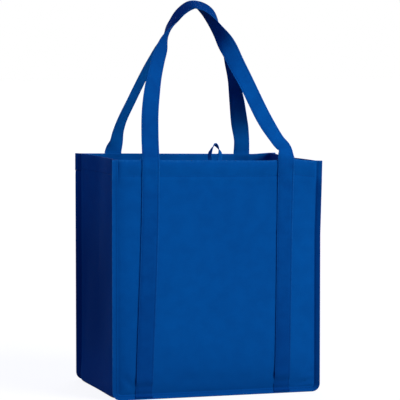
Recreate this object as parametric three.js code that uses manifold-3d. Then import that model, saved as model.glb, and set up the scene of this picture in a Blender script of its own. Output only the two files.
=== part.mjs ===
// Non-woven tote bag: two flat panels and one gusset strip sewn with their edges turned outwards,
// two strap handles, a hang loop and a loose base board.
// Millimetres, +Z up. The bag stands on its bottom seams at z = 0, centred on the Z axis, and its
// front panel faces -Y.
import * as THREE from "three";
import { mergeVertices } from "three/addons/utils/BufferGeometryUtils.js";
import Module from "manifold-3d";

// Overall size of the sewn body
const BAG_WIDTH = 305; // over the side seams
const BAG_HEIGHT = 330; // floor to rim
const BAG_DEPTH = 203; // outer face of the front panel to outer face of the back panel

// Cloth, seams and hems
const CLOTH = 0.8;
const SEAM_FLANGE = 7; // cloth outside the seam line, standing out in the plane of the panel
const CORNER_RADIUS = 14; // bottom corners of the front and back panels
const HEM_HEIGHT = 24;
const SEAT_GAP = 0.3; // between pieces that lie against each other

// Handles: one strap each, sewn up the panel and free above the rim
const STRAP_WIDTH = 25;
const STRAP_THICKNESS = 1.4;
const STRAP_SPACING = 200; // between the middles of a handle's two legs
const STRAP_END = 2; // lower end of a strap above the floor
const STRAP_STAND = 4; // straight length above the rim before a leg leans over
const HANDLE_RISE = 218; // rim to the middle of the strap at the top of the loop
const HANDLE_STEPS = 84; // facets along the free loop

// Hang loop: a narrow tape sewn inside the front hem
const TAPE_WIDTH = 6;
const TAPE_THICKNESS = 1;
const LOOP_SPACING = 15; // between the middles of its two legs
const LOOP_RISE = 24;
const LOOP_ANCHOR = 17; // length of each leg that is sewn down
const LOOP_OFFSET = -4; // sideways from the middle of the panel
const LOOP_STEPS = 28;

// Base board: a loose insert that lies on the base
const BOARD_THICKNESS = 1.5;
const BOARD_CORNER = 10;
const BOARD_CLEARANCE = 2; // to the walls round it

const ARC_STEPS = 10; // facets on a quarter round
const RIM = BAG_HEIGHT - CLOTH; // where the round fold of a hem begins

// Places along a free handle: across as a share of half the strap spacing, deep as a share of half
// the bag's depth, up as a share of the rise, and turn as the strap's twist in degrees from lying
// flat against its panel. Both straps lie together at the top, the back one over the front one.
const FRONT_ROUTE = [
  [-1, -1, 0, 0],
  [-0.95, -0.83, 0.24, 0],
  [-0.85, -0.63, 0.44, 12],
  [-0.68, -0.38, 0.65, 32],
  [-0.44, -0.14, 0.79, 74],
  [-0.22, -0.04, 0.92, 106],
  [-0.05, -0.02, 0.97, 118],
  [0.18, -0.1, 0.88, 80],
  [0.36, -0.29, 0.73, 46],
  [0.58, -0.55, 0.48, 18],
  [0.79, -0.79, 0.24, 6],
  [1, -1, 0, 0],
];
const BACK_ROUTE = [
  [-1, 1, 0, 0],
  [-0.94, 0.88, 0.18, 34],
  [-0.78, 0.66, 0.38, 44],
  [-0.57, 0.36, 0.65, 50],
  [-0.44, 0.04, 0.83, 80],
  [-0.24, -0.03, 0.95, 108],
  [-0.05, -0.02, 1, 121],
  [0.2, 0, 0.965, 126],
  [0.42, 0.15, 0.83, 108],
  [0.62, 0.38, 0.62, 78],
  [0.82, 0.65, 0.37, 60],
  [0.96, 0.88, 0.14, 30],
  [1, 1, 0, 0],
];

// Places along the hang loop: across as a share of half its leg spacing, up as a share of its rise,
// and the tape's twist. The tape lies flat where it is sewn and stands on edge at the top.
const LOOP_ROUTE = [
  [-1, 0, 0],
  [-0.92, 0.34, 24],
  [-0.66, 0.72, 62],
  [0, 1, 90],
  [0.66, 0.72, 62],
  [0.92, 0.34, 24],
  [1, 0, 0],
];

const wasm = await Module();
wasm.setup();

// Solids joined into one closed geometry
function solidOf(geometry) {
  const bare = geometry.clone();
  bare.deleteAttribute("normal");
  bare.deleteAttribute("uv");
  const merged = mergeVertices(bare, 1e-4);
  return new wasm.Manifold(
    new wasm.Mesh({
      numProp: 3,
      vertProperties: merged.attributes.position.array,
      triVerts: new Uint32Array(merged.index.array),
    }),
  );
}

function join(geometries) {
  const solid = geometries.map(solidOf).reduce((sum, next) => sum.add(next));
  const mesh = solid.getMesh();
  const geometry = new THREE.BufferGeometry();
  geometry.setAttribute("position", new THREE.BufferAttribute(mesh.vertProperties, 3));
  geometry.setIndex(new THREE.BufferAttribute(mesh.triVerts, 1));
  return shaded(geometry);
}

function shaded(geometry) {
  const flat = geometry.toNonIndexed();
  flat.computeVertexNormals();
  return flat;
}

// The panel's edge from one end of the rim, down, round the bottom and up again, moved inwards
function edgePath(inset) {
  const half = BAG_WIDTH / 2 - inset;
  const radius = CORNER_RADIUS - inset;
  const path = new THREE.Path();
  path.moveTo(-half, RIM);
  path.lineTo(-half, inset + radius);
  path.absarc(radius - half, inset + radius, radius, Math.PI, 1.5 * Math.PI, false);
  path.lineTo(half - radius, inset);
  path.absarc(half - radius, inset + radius, radius, 1.5 * Math.PI, 2 * Math.PI, false);
  path.lineTo(half, RIM);
  return path.getPoints(ARC_STEPS);
}

// A cloth outline drawn in XZ, made solid from y = near towards +Y
function upright(points, depth, near) {
  const shape = new THREE.Shape(points);
  const geometry = new THREE.ExtrudeGeometry(shape, { depth, bevelEnabled: false });
  geometry.rotateX(Math.PI / 2);
  geometry.translate(0, near + depth, 0);
  return geometry;
}

// A U-shaped band of the edge between two insets, open at the rim
function edgeBand(outerInset, innerInset, depth, near) {
  return upright([...edgePath(outerInset), ...edgePath(innerInset).reverse()], depth, near);
}

// A folded hem along X: two layers with a round fold on top, its outer face on y = 0
function hem(length) {
  const shape = new THREE.Shape();
  shape.moveTo(0, BAG_HEIGHT - HEM_HEIGHT);
  shape.lineTo(2 * CLOTH, BAG_HEIGHT - HEM_HEIGHT);
  shape.lineTo(2 * CLOTH, RIM);
  shape.absarc(CLOTH, RIM, CLOTH, 0, Math.PI, false);
  const geometry = new THREE.ExtrudeGeometry(shape, {
    depth: length,
    bevelEnabled: false,
    curveSegments: ARC_STEPS,
  });
  geometry.rotateX(Math.PI / 2);
  geometry.rotateZ(Math.PI / 2);
  geometry.translate(-length / 2, 0, 0);
  return geometry;
}

// A strap or tape lofted along its middle line, with its width along the given sideways directions
function ribbon(middles, turns, width, thickness) {
  const corners = [];
  middles.forEach((middle, i) => {
    const before = middles[Math.max(i - 1, 0)];
    const after = middles[Math.min(i + 1, middles.length - 1)];
    const along = after.clone().sub(before).normalize();
    const deep = new THREE.Vector3(0, 1, 0);
    deep.addScaledVector(along, -deep.dot(along)).normalize();
    const inward = deep.clone().cross(along);
    const angle = THREE.MathUtils.degToRad(turns[i]);
    const sideways = inward.multiplyScalar(Math.cos(angle)).addScaledVector(deep, Math.sin(angle));
    const across = along.clone().cross(sideways);
    for (const [s, t] of [[-1, -1], [1, -1], [1, 1], [-1, 1]]) {
      const corner = middle.clone();
      corner.addScaledVector(sideways, (s * width) / 2);
      corner.addScaledVector(across, (t * thickness) / 2);
      corners.push(corner.x, corner.y, corner.z);
    }
  });
  const faces = [];
  const last = (middles.length - 1) * 4;
  for (let ring = 0; ring < last; ring += 4) {
    for (let side = 0; side < 4; side++) {
      const here = ring + side;
      const next = ring + ((side + 1) % 4);
      faces.push(here, next, next + 4, here, next + 4, here + 4);
    }
  }
  faces.push(0, 2, 1, 0, 3, 2);
  faces.push(last, last + 1, last + 2, last, last + 2, last + 3);
  const geometry = new THREE.BufferGeometry();
  geometry.setAttribute("position", new THREE.Float32BufferAttribute(corners, 3));
  geometry.setIndex(faces);
  return shaded(geometry);
}

// A free route sampled evenly, with a straight sewn leg added at both ends
function sewnRoute(places, turns, steps, footHeight) {
  const curve = new THREE.CatmullRomCurve3(places, false, "centripetal");
  const twist = new THREE.CatmullRomCurve3(turns.map((turn) => new THREE.Vector3(turn, 0, 0)));
  const middles = [];
  const angles = [];
  for (let i = 0; i <= steps; i++) {
    middles.push(curve.getPoint(i / steps));
    angles.push(twist.getPoint(i / steps).x);
  }
  const foot = (place) => new THREE.Vector3(place.x, place.y, footHeight);
  return {
    middles: [foot(places[0]), ...middles, foot(places[places.length - 1])],
    turns: [0, ...angles, 0],
  };
}

function handle(route) {
  const legDepth = BAG_DEPTH / 2 + SEAT_GAP + STRAP_THICKNESS / 2;
  const start = BAG_HEIGHT + STRAP_STAND;
  const places = route.map(
    ([across, deep, up]) =>
      new THREE.Vector3(
        (across * STRAP_SPACING) / 2,
        deep * legDepth,
        start + up * (HANDLE_RISE - STRAP_STAND),
      ),
  );
  const twists = route.map((station) => station[3]);
  const { middles, turns } = sewnRoute(places, twists, HANDLE_STEPS, STRAP_END);
  return ribbon(middles, turns, STRAP_WIDTH, STRAP_THICKNESS);
}

function panel() {
  const clothInside = BAG_WIDTH / 2 - SEAM_FLANGE - 2 * CLOTH - SEAT_GAP;
  return join([upright(edgePath(0), CLOTH, 0), hem(2 * clothInside)]);
}

// The strip's edges turn outwards to lie against the insides of the panel's flanges
function gusset() {
  const near = CLOTH + SEAT_GAP - BAG_DEPTH / 2;
  const length = -2 * near;
  const seamLine = BAG_WIDTH / 2 - SEAM_FLANGE;
  const inner = SEAM_FLANGE + CLOTH;
  const leftHem = hem(length).rotateZ(-Math.PI / 2).translate(-seamLine, 0, 0);
  const rightHem = hem(length).rotateZ(Math.PI / 2).translate(seamLine, 0, 0);
  return join([
    edgeBand(SEAM_FLANGE, inner, length, near),
    edgeBand(0, inner, CLOTH, near),
    edgeBand(0, inner, CLOTH, -near - CLOTH),
    leftHem,
    rightHem,
  ]);
}

function hangLoop() {
  const depth = 2 * CLOTH + SEAT_GAP + TAPE_THICKNESS / 2 - BAG_DEPTH / 2;
  const places = LOOP_ROUTE.map(
    ([across, up]) =>
      new THREE.Vector3((across * LOOP_SPACING) / 2 + LOOP_OFFSET, depth, BAG_HEIGHT + up * LOOP_RISE),
  );
  const twists = LOOP_ROUTE.map((station) => station[2]);
  const { middles, turns } = sewnRoute(places, twists, LOOP_STEPS, BAG_HEIGHT - LOOP_ANCHOR);
  return ribbon(middles, turns, TAPE_WIDTH, TAPE_THICKNESS);
}

function baseBoard() {
  const halfWidth = BAG_WIDTH / 2 - CORNER_RADIUS - BOARD_CLEARANCE;
  const halfDepth = BAG_DEPTH / 2 - 2 * CLOTH - SEAT_GAP - BOARD_CLEARANCE;
  const turn = Math.PI / 2;
  const shape = new THREE.Shape();
  [[1, 1], [-1, 1], [-1, -1], [1, -1]].forEach(([x, y], i) => {
    const centreX = x * (halfWidth - BOARD_CORNER);
    const centreY = y * (halfDepth - BOARD_CORNER);
    shape.absarc(centreX, centreY, BOARD_CORNER, i * turn, (i + 1) * turn, false);
  });
  const geometry = new THREE.ExtrudeGeometry(shape, {
    depth: BOARD_THICKNESS,
    bevelEnabled: false,
    curveSegments: ARC_STEPS,
  });
  return geometry.translate(0, 0, SEAM_FLANGE + CLOTH + SEAT_GAP);
}

function cloth(color) {
  return new THREE.MeshStandardMaterial({ color, roughness: 0.9, metalness: 0 });
}

function piece(name, geometry, material) {
  const mesh = new THREE.Mesh(geometry, material);
  mesh.name = name;
  return mesh;
}

const bag = new THREE.Group();

const frontPanel = piece("front_panel", panel(), cloth(0x014a95));
frontPanel.position.y = -BAG_DEPTH / 2;
const backPanel = piece("back_panel", panel(), cloth(0x014a95));
backPanel.position.y = BAG_DEPTH / 2;
backPanel.rotation.z = Math.PI;

bag.add(
  frontPanel,
  backPanel,
  piece("gusset", gusset(), cloth(0x013f86)),
  piece("front_handle", handle(FRONT_ROUTE), cloth(0x014d9b)),
  piece("back_handle", handle(BACK_ROUTE), cloth(0x014690)),
  piece("hang_loop", hangLoop(), cloth(0x014690)),
  piece(
    "base_board",
    baseBoard(),
    new THREE.MeshStandardMaterial({ color: 0x26282b, roughness: 0.6, metalness: 0 }),
  ),
);

export default bag;
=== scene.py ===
"""A blue non-woven tote bag: sewn panels, a gusset strip, strap handles, a hang loop and stitching.

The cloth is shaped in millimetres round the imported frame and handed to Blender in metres. The bag
stands on the floor with its front panel facing -Y and its open top facing +Z.
"""

import logging
import math
from collections.abc import Callable, Sequence
from dataclasses import dataclass, field
from enum import Enum

import bmesh
import bpy
import numpy as np
import numpy.typing as npt
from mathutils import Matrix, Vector


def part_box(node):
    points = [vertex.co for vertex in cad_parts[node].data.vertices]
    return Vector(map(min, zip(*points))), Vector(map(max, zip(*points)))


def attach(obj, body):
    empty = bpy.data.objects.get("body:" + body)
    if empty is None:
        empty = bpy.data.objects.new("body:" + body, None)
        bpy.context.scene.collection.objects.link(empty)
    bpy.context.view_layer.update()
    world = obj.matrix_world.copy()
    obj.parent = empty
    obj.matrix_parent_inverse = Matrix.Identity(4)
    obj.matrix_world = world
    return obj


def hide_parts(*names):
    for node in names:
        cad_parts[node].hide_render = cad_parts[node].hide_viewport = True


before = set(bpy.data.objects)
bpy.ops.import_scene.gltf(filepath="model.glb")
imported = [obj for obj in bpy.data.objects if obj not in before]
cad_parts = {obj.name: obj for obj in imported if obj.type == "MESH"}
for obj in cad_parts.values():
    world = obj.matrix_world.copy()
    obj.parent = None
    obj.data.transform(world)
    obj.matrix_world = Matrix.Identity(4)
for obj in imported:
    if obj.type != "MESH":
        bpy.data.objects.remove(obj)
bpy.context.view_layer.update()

LOG = logging.getLogger("tote_bag")
METRES = 0.001  # metres in one millimetre
WELD = 0.002  # points of a mesh that lie closer than this, in millimetres, become one
STRAP_CRISP = 75.0  # edges of a strap that bend by more degrees than this stay crisp
CURVE_DENSITY = 6  # first steps along a smooth curve for each sample that is kept
BODY = "root"
CLOTH_MAP = "flat_cloth"
WEAR_MASK = "edge_wear"
# mask of painted shade: the cloth materials darken their colour where it is high
SHADE_MASK = "painted_shade"
WHITE = (1.0, 1.0, 1.0, 1.0)

Array = npt.NDArray[np.float64]
Colour = tuple[float, float, float]
Socket = bpy.types.NodeSocket
Material = bpy.types.Material
Piece = bpy.types.Object


class Slot(Enum):
    """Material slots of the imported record."""

    PANEL = "panel_cloth"
    GUSSET = "gusset_cloth"
    STRAP = "strap_cloth"
    TAPE = "tape"


class Held(Enum):
    """Ways in which a piece of cloth is held."""

    STRETCHED = "stretched"
    FOLDED = "folded"
    HUNG = "hung"


class Face(Enum):
    """The two large faces of the bag, with the sign of the Y direction that each looks in."""

    FRONT = -1.0
    BACK = 1.0


# Small shape helpers


def soft_step(low: float, high: float, value: Array) -> Array:
    """A step from 0 at low to 1 at high with soft ends.

    Args:
        low: Place where the step begins.
        high: Place where the step has ended.
        value: Places to look at.

    Returns:
        The height of the step at each place.
    """
    share = np.clip((value - low) / (high - low), 0.0, 1.0)
    return share * share * (3.0 - 2.0 * share)


@dataclass(frozen=True)
class Ramp:
    """Where a soft step begins and where it has ended."""

    low: float
    high: float

    def at(self, value: Array) -> Array:
        """Height of the step at each place."""
        return soft_step(self.low, self.high, value)


def mound(value: Array, middle: float, width: float) -> Array:
    """A bell of height 1 over its middle, as wide as given."""
    return np.exp(-(((value - middle) / width) ** 2))


def fill(distance: Array, reach: float) -> Array:
    """0 at a seam, rising towards 1 well away from it."""
    return 1.0 - np.exp(-distance / reach)


def spaced(low: float, high: float, step: float, marks: Sequence[float] = ()) -> Array:
    """Places from low to high that hit every mark and are at most a step apart.

    Args:
        low: First place.
        high: Last place.
        step: Largest distance between neighbours.
        marks: Places that have to be among them.

    Returns:
        The places in rising order.
    """
    stops = sorted({low, *marks, high})
    runs = []
    for start, end in zip(stops, stops[1:]):
        count = max(1, math.ceil((end - start) / step))
        runs.append(np.linspace(start, end, count, endpoint=False))
    return np.concatenate([*runs, [high]])


def unit(vectors: Array) -> Array:
    """The vectors, each made one long."""
    return vectors / np.linalg.norm(vectors, axis=-1, keepdims=True)


def along(points: Array) -> Array:
    """Length walked along a line of points, from 0 at its first one."""
    steps = np.linalg.norm(np.diff(points, axis=0), axis=1)
    return np.concatenate([[0.0], np.cumsum(steps)])


def sampled(places: Array, length: Array, rows: Array) -> Array:
    """Values of a line's rows at places along it."""
    return np.stack([np.interp(places, length, column) for column in rows.T], axis=-1)


def smooth_curve(stations: Array, samples: int) -> Array:
    """A smooth curve through stations, sampled evenly between the second and the last but one.

    Args:
        stations: One row per station, place first and any values that follow it after that.
        samples: Number of samples.

    Returns:
        The sampled rows.
    """
    gaps = np.sqrt(np.linalg.norm(np.diff(stations[:, :3], axis=0), axis=1))
    knots = np.concatenate([[0.0], np.cumsum(gaps)])
    dense = np.linspace(knots[1], knots[-2], samples * CURVE_DENSITY)
    span = np.clip(np.searchsorted(knots, dense, side="right") - 1, 1, len(knots) - 3)
    t0, t1, t2, t3 = (knots[span + shift][:, None] for shift in (-1, 0, 1, 2))
    p0, p1, p2, p3 = (stations[span + shift] for shift in (-1, 0, 1, 2))
    t = dense[:, None]
    a1 = (t1 - t) / (t1 - t0) * p0 + (t - t0) / (t1 - t0) * p1
    a2 = (t2 - t) / (t2 - t1) * p1 + (t - t1) / (t2 - t1) * p2
    a3 = (t3 - t) / (t3 - t2) * p2 + (t - t2) / (t3 - t2) * p3
    b1 = (t2 - t) / (t2 - t0) * a1 + (t - t0) / (t2 - t0) * a2
    b2 = (t3 - t) / (t3 - t1) * a2 + (t - t1) / (t3 - t1) * a3
    rows = (t2 - t) / (t2 - t1) * b1 + (t - t1) / (t2 - t1) * b2
    length = along(rows[:, :3])
    return sampled(np.linspace(0.0, length[-1], samples), length, rows)


def ribbon_frames(line: Array) -> tuple[Array, Array]:
    """Width direction and face direction of a strap along its middle line.

    Args:
        line: One row per ring: place, and twist in degrees from lying flat against a panel.

    Returns:
        The two directions of each ring.
    """
    ahead = unit(np.gradient(line[:, :3], axis=0))
    deep = unit(np.array([0.0, 1.0, 0.0]) - ahead * ahead[:, 1:2])
    inward = np.cross(deep, ahead)
    twist = np.radians(line[:, 3:4])
    sideways = inward * np.cos(twist) + deep * np.sin(twist)
    return sideways, np.cross(ahead, sideways)


def ribbon(line: Array, shape: Array) -> Array:
    """Rings of a strap whose section is set along its middle line.

    Args:
        line: One row per ring: place, and twist in degrees from lying flat against a panel.
        shape: Points of the section, across and rise.

    Returns:
        Rings by points by three.
    """
    sideways, face = ribbon_frames(line)
    across = sideways[:, None, :] * shape[None, :, 0:1]
    return line[:, None, :3] + across + face[:, None, :] * shape[None, :, 1:2]


def half_section(
    edge: Sequence[tuple[float, float]], top: Sequence[tuple[float, float]] = ()
) -> Array:
    """The upper half of a strap's outline, from its left edge to just before its right edge.

    Args:
        edge: Rows from the right edge inwards: across and rise, as shares of the half sizes.
        top: Rows in the middle.

    Returns:
        The rows of the half outline.
    """
    left = [(-across, rise) for across, rise in edge]
    return np.array([*left, *top, *edge[:0:-1]])


def closed_section(half: Array, width: float, thickness: float) -> Array:
    """A strap's whole outline in millimetres, from its upper half."""
    near = half * [0.5 * width, 0.5 * thickness]
    return np.concatenate([near, -near])


# Meshes


@dataclass
class MeshDraft:
    """Points, faces, flat cloth coordinates and masks of a mesh in the making, in millimetres."""

    points: list[Array] = field(default_factory=list)
    flats: list[Array] = field(default_factory=list)
    wears: list[Array] = field(default_factory=list)
    shades: list[Array] = field(default_factory=list)
    faces: list[tuple[int, ...]] = field(default_factory=list)
    count: int = 0

    def add_grid(
        self, points: Array, flat: Array, wear: Array, shade: Array, ring: bool = False
    ) -> Array:
        """Adds a grid of points with faces between them.

        Args:
            points: Rows by columns by three.
            flat: Flat cloth coordinates, rows by columns by two.
            wear: Edge wear from 0 to 1, rows by columns.
            shade: Painted shade from 0 to 1, rows by columns.
            ring: Whether the last column joins the first.

        Returns:
            The index of each point, rows by columns.
        """
        rows, columns = points.shape[:2]
        index = self.count + np.arange(rows * columns).reshape(rows, columns)
        self.points.append(points.reshape(-1, 3))
        self.flats.append(flat.reshape(-1, 2))
        self.wears.append(np.broadcast_to(wear, (rows, columns)).reshape(-1))
        self.shades.append(np.broadcast_to(shade, (rows, columns)).reshape(-1))
        self.count += rows * columns
        after = np.roll(index, -1, axis=1) if ring else index[:, 1:]
        here = index if ring else index[:, :-1]
        quads = np.stack([here[:-1], after[:-1], after[1:], here[1:]], axis=-1)
        self.faces.extend(map(tuple, quads.reshape(-1, 4).tolist()))
        return index

    def add_cap(self, rim: Array) -> None:
        """Closes the end of a tube with one face."""
        self.faces.append(tuple(rim.tolist()))

    def add_strap(self, rings: Array, flat: Array, wear: Array, shade: Array) -> None:
        """Adds a strap that is closed at both ends.

        Args:
            rings: Rings by points by three.
            flat: Flat cloth coordinates, rings by points by two.
            wear: Edge wear from 0 to 1, rings by points.
            shade: Painted shade from 0 to 1, rings by points.
        """
        index = self.add_grid(rings, flat, wear, shade, ring=True)
        self.add_cap(index[0])
        self.add_cap(index[-1][::-1])

    def build(self, name: str, thickness: float = 0.0, crisp: float = 40.0) -> Piece:
        """Makes the Blender object.

        Args:
            name: Name of the object and its mesh.
            thickness: Cloth thickness to add behind the faces, or 0 for a closed mesh.
            crisp: Edges that bend by more degrees than this stay crisp.

        Returns:
            The new object, linked to the scene.
        """
        mesh = bpy.data.meshes.new(name)
        places = np.concatenate(self.points) * METRES
        mesh.from_pydata(places.tolist(), [], self.faces)
        self._paint(mesh)
        work = bmesh.new()
        work.from_mesh(mesh)
        bmesh.ops.remove_doubles(work, verts=work.verts, dist=WELD * METRES)
        work.to_mesh(mesh)
        work.free()
        piece = bpy.data.objects.new(name, mesh)
        bpy.context.scene.collection.objects.link(piece)
        if thickness > 0.0:
            thicken(piece, thickness)
        piece.data.polygons.foreach_set("use_smooth", [True] * len(piece.data.polygons))
        piece.data.set_sharp_from_angle(angle=math.radians(crisp))
        return piece

    def _paint(self, mesh: bpy.types.Mesh) -> None:
        """Writes the flat coordinates and the masks to the mesh.

        Args:
            mesh: The mesh, with all its faces.
        """
        corners = np.empty(len(mesh.loops), dtype=np.int32)
        mesh.loops.foreach_get("vertex_index", corners)
        flat = np.concatenate(self.flats) * METRES
        layer = mesh.uv_layers.new(name=CLOTH_MAP)
        layer.data.foreach_set("uv", flat[corners].astype(np.float32).ravel())
        for mask, values in ((WEAR_MASK, self.wears), (SHADE_MASK, self.shades)):
            attribute = mesh.attributes.new(mask, "FLOAT", "POINT")
            attribute.data.foreach_set("value", np.concatenate(values).astype(np.float32))


def thicken(piece: Piece, thickness: float) -> None:
    """Gives a sheet its thickness behind its faces and keeps the result.

    Args:
        piece: The sheet.
        thickness: Thickness of the cloth in millimetres.
    """
    solid = piece.modifiers.new("cloth thickness", "SOLIDIFY")
    solid.thickness = thickness * METRES
    solid.offset = -1.0
    solid.use_even_offset = True
    solid.thickness_clamp = 1.0
    shown = piece.evaluated_get(bpy.context.evaluated_depsgraph_get())
    plain = piece.data
    piece.data = bpy.data.meshes.new_from_object(shown)
    piece.modifiers.clear()
    bpy.data.meshes.remove(plain)
    piece.data.name = piece.name


# Finishes


def linear(colour: Colour) -> tuple[float, float, float, float]:
    """A screen colour as the linear value that a shader takes.

    Args:
        colour: Red, green and blue from 0 to 255.

    Returns:
        The linear colour with an alpha of 1.
    """
    shares = [part / 255.0 for part in colour]
    curve = [s / 12.92 if s <= 0.04045 else ((s + 0.055) / 1.055) ** 2.4 for s in shares]
    return (*curve, 1.0)


class NodeSheet:
    """A node tree under construction."""

    def __init__(self, tree: bpy.types.NodeTree) -> None:
        """Starts on a tree, emptied first."""
        self.tree = tree
        tree.nodes.clear()

    def add(self, kind: str, **settings: object) -> bpy.types.Node:
        """Adds a node and sets its own properties.

        Args:
            kind: Name of the node type.
            settings: Properties to set on it.

        Returns:
            The new node.
        """
        node = self.tree.nodes.new(kind)
        for key, value in settings.items():
            setattr(node, key, value)
        return node

    def feed(self, target: Socket, source: object) -> None:
        """Links a socket to another one, or sets it to a plain value.

        Args:
            target: Socket to feed.
            source: Socket or value to feed it with.
        """
        if isinstance(source, Socket):
            self.tree.links.new(source, target)
        else:
            target.default_value = source

    def math(self, operation: str, first: object, second: object) -> Socket:
        """The result of a sum on two values or sockets.

        Args:
            operation: Name of the sum.
            first: First value or socket.
            second: Second value or socket.

        Returns:
            The socket with the result.
        """
        node = self.add("ShaderNodeMath", operation=operation)
        self.feed(node.inputs[0], first)
        self.feed(node.inputs[1], second)
        return node.outputs[0]

    def span(self, value: object, low: float, high: float, start: float, end: float) -> Socket:
        """A value moved softly from the range low to high into start to end.

        Args:
            value: Value or socket to move.
            low: Value that gives start.
            high: Value that gives end.
            start: Result at low.
            end: Result at high.

        Returns:
            The socket with the result.
        """
        node = self.add("ShaderNodeMapRange", interpolation_type="SMOOTHSTEP")
        for socket, source in zip(node.inputs, (value, low, high, start, end)):
            self.feed(socket, source)
        return node.outputs[0]

    def blend(self, share: object, first: object, second: object) -> Socket:
        """Two colours mixed.

        Args:
            share: How much of the second colour.
            first: Colour or socket.
            second: Colour or socket.

        Returns:
            The socket with the mixed colour.
        """
        node = self.add("ShaderNodeMix", data_type="RGBA", blend_type="MIX")
        colours = [socket for socket in node.inputs if socket.type == "RGBA"]
        self.feed(node.inputs[0], share)
        self.feed(colours[0], first)
        self.feed(colours[1], second)
        return next(socket for socket in node.outputs if socket.type == "RGBA")

    def choice(self, share: object, first: Socket, second: Socket) -> Socket:
        """Two shaders mixed.

        Args:
            share: How much of the second shader.
            first: First shader.
            second: Second shader.

        Returns:
            The socket with the mixed shader.
        """
        node = self.add("ShaderNodeMixShader")
        self.feed(node.inputs["Fac"], share)
        self.feed(node.inputs[1], first)
        self.feed(node.inputs[2], second)
        return node.outputs["Shader"]

    def scaled(self, vector: Socket, size: object) -> Socket:
        """A vector times a number.

        Args:
            vector: The vector.
            size: Number or socket.

        Returns:
            The socket with the scaled vector.
        """
        node = self.add("ShaderNodeVectorMath", operation="SCALE")
        self.feed(node.inputs["Vector"], vector)
        self.feed(node.inputs["Scale"], size)
        return node.outputs["Vector"]

    def stretched(self, vector: Socket, turn: float, sizes: tuple[float, float, float]) -> Socket:
        """A vector turned about Z, then scaled along each axis.

        Args:
            vector: The vector.
            turn: Turn in degrees.
            sizes: Scale along each axis.

        Returns:
            The socket with the new vector.
        """
        node = self.add("ShaderNodeMapping", vector_type="POINT")
        self.feed(node.inputs["Vector"], vector)
        node.inputs["Rotation"].default_value = (0.0, 0.0, math.radians(turn))
        node.inputs["Scale"].default_value = sizes
        return node.outputs["Vector"]

    def noise(self, vector: Socket, scale: float, detail: float) -> Socket:
        """Cloudy noise from 0 to 1.

        Args:
            vector: Place that the noise is read at.
            scale: Fineness of the noise.
            detail: Number of finer layers.

        Returns:
            The socket with the noise.
        """
        node = self.add("ShaderNodeTexNoise", noise_dimensions="3D")
        self.feed(node.inputs["Vector"], vector)
        node.inputs["Scale"].default_value = scale
        node.inputs["Detail"].default_value = detail
        return node.outputs[0]

    def bump(self, height: Socket, strength: float, depth: float) -> Socket:
        """A normal that follows a height.

        Args:
            height: Height from 0 to 1.
            strength: How much of it shows.
            depth: Depth of the relief in millimetres.

        Returns:
            The socket with the normal.
        """
        node = self.add("ShaderNodeBump")
        node.inputs["Strength"].default_value = strength
        node.inputs["Distance"].default_value = depth * METRES
        self.feed(node.inputs["Height"], height)
        return node.outputs["Normal"]


@dataclass(frozen=True)
class Mottle:
    """Cloudy patches: fineness and layers of the noise, the range that shows, and its strength."""

    scale: float
    detail: float
    low: float
    high: float
    start: float
    end: float

    def mask(self, sheet: NodeSheet, place: Socket) -> Socket:
        """The patches as a value over the surface."""
        cloud = sheet.noise(place, self.scale, self.detail)
        return sheet.span(cloud, self.low, self.high, self.start, self.end)


Sockets = Sequence[tuple[str, str]]


def new_group(
    name: str, inputs: Sockets, outputs: Sockets
) -> tuple[NodeSheet, bpy.types.Node, bpy.types.Node]:
    """A new shader node group with its sockets.

    Args:
        name: Name of the group.
        inputs: Name and kind of each input.
        outputs: Name and kind of each output.

    Returns:
        The node sheet, its input node and its output node.
    """
    tree = bpy.data.node_groups.new(name, "ShaderNodeTree")
    for direction, sockets in (("INPUT", inputs), ("OUTPUT", outputs)):
        for label, kind in sockets:
            tree.interface.new_socket(label, in_out=direction, socket_type=f"NodeSocket{kind}")
    sheet = NodeSheet(tree)
    return sheet, sheet.add("NodeGroupInput"), sheet.add("NodeGroupOutput")


LATTICE_GROUP = "spunbond_lattice"
BOND_LATTICE = (45.0, (1.0, 0.82, 1.0))  # turn of the bond points in degrees, and their spacing
BOND_EDGE = (0.2, 0.36)  # where a bond point begins to fade and where it has ended, in pitches
FIBRE_SETS = ((28.0, 2600.0), (-37.0, 2300.0))  # lie in degrees and fineness of each set of fibres
FIBRE_STRETCH = (1.0, 0.16, 1.0)
FIBRE_DETAIL = 2.0
FIBRE_HEIGHT = 0.55  # height of a fibre in depths of a bond point

TONE_GROUP = "cloth_tone"
THICK_PATCHES = Mottle(55.0, 4.0, 0.3, 0.72, 0.0, 0.26)
THICK_DRIFTS = Mottle(7.0, 2.0, 0.3, 0.7, 0.0, 0.2)
RUBBED_PATCHES = Mottle(240.0, 3.0, 0.4, 0.66, 0.1, 0.55)
LIT_FIBRES = (0.52, 0.8, 0.0, 0.16)
BOND_DEEPENS = 0.3
CLOTH_ROUGHNESS = 0.9
BOND_GLOSS = 0.22
WORN_GLOSS = 0.12


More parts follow.
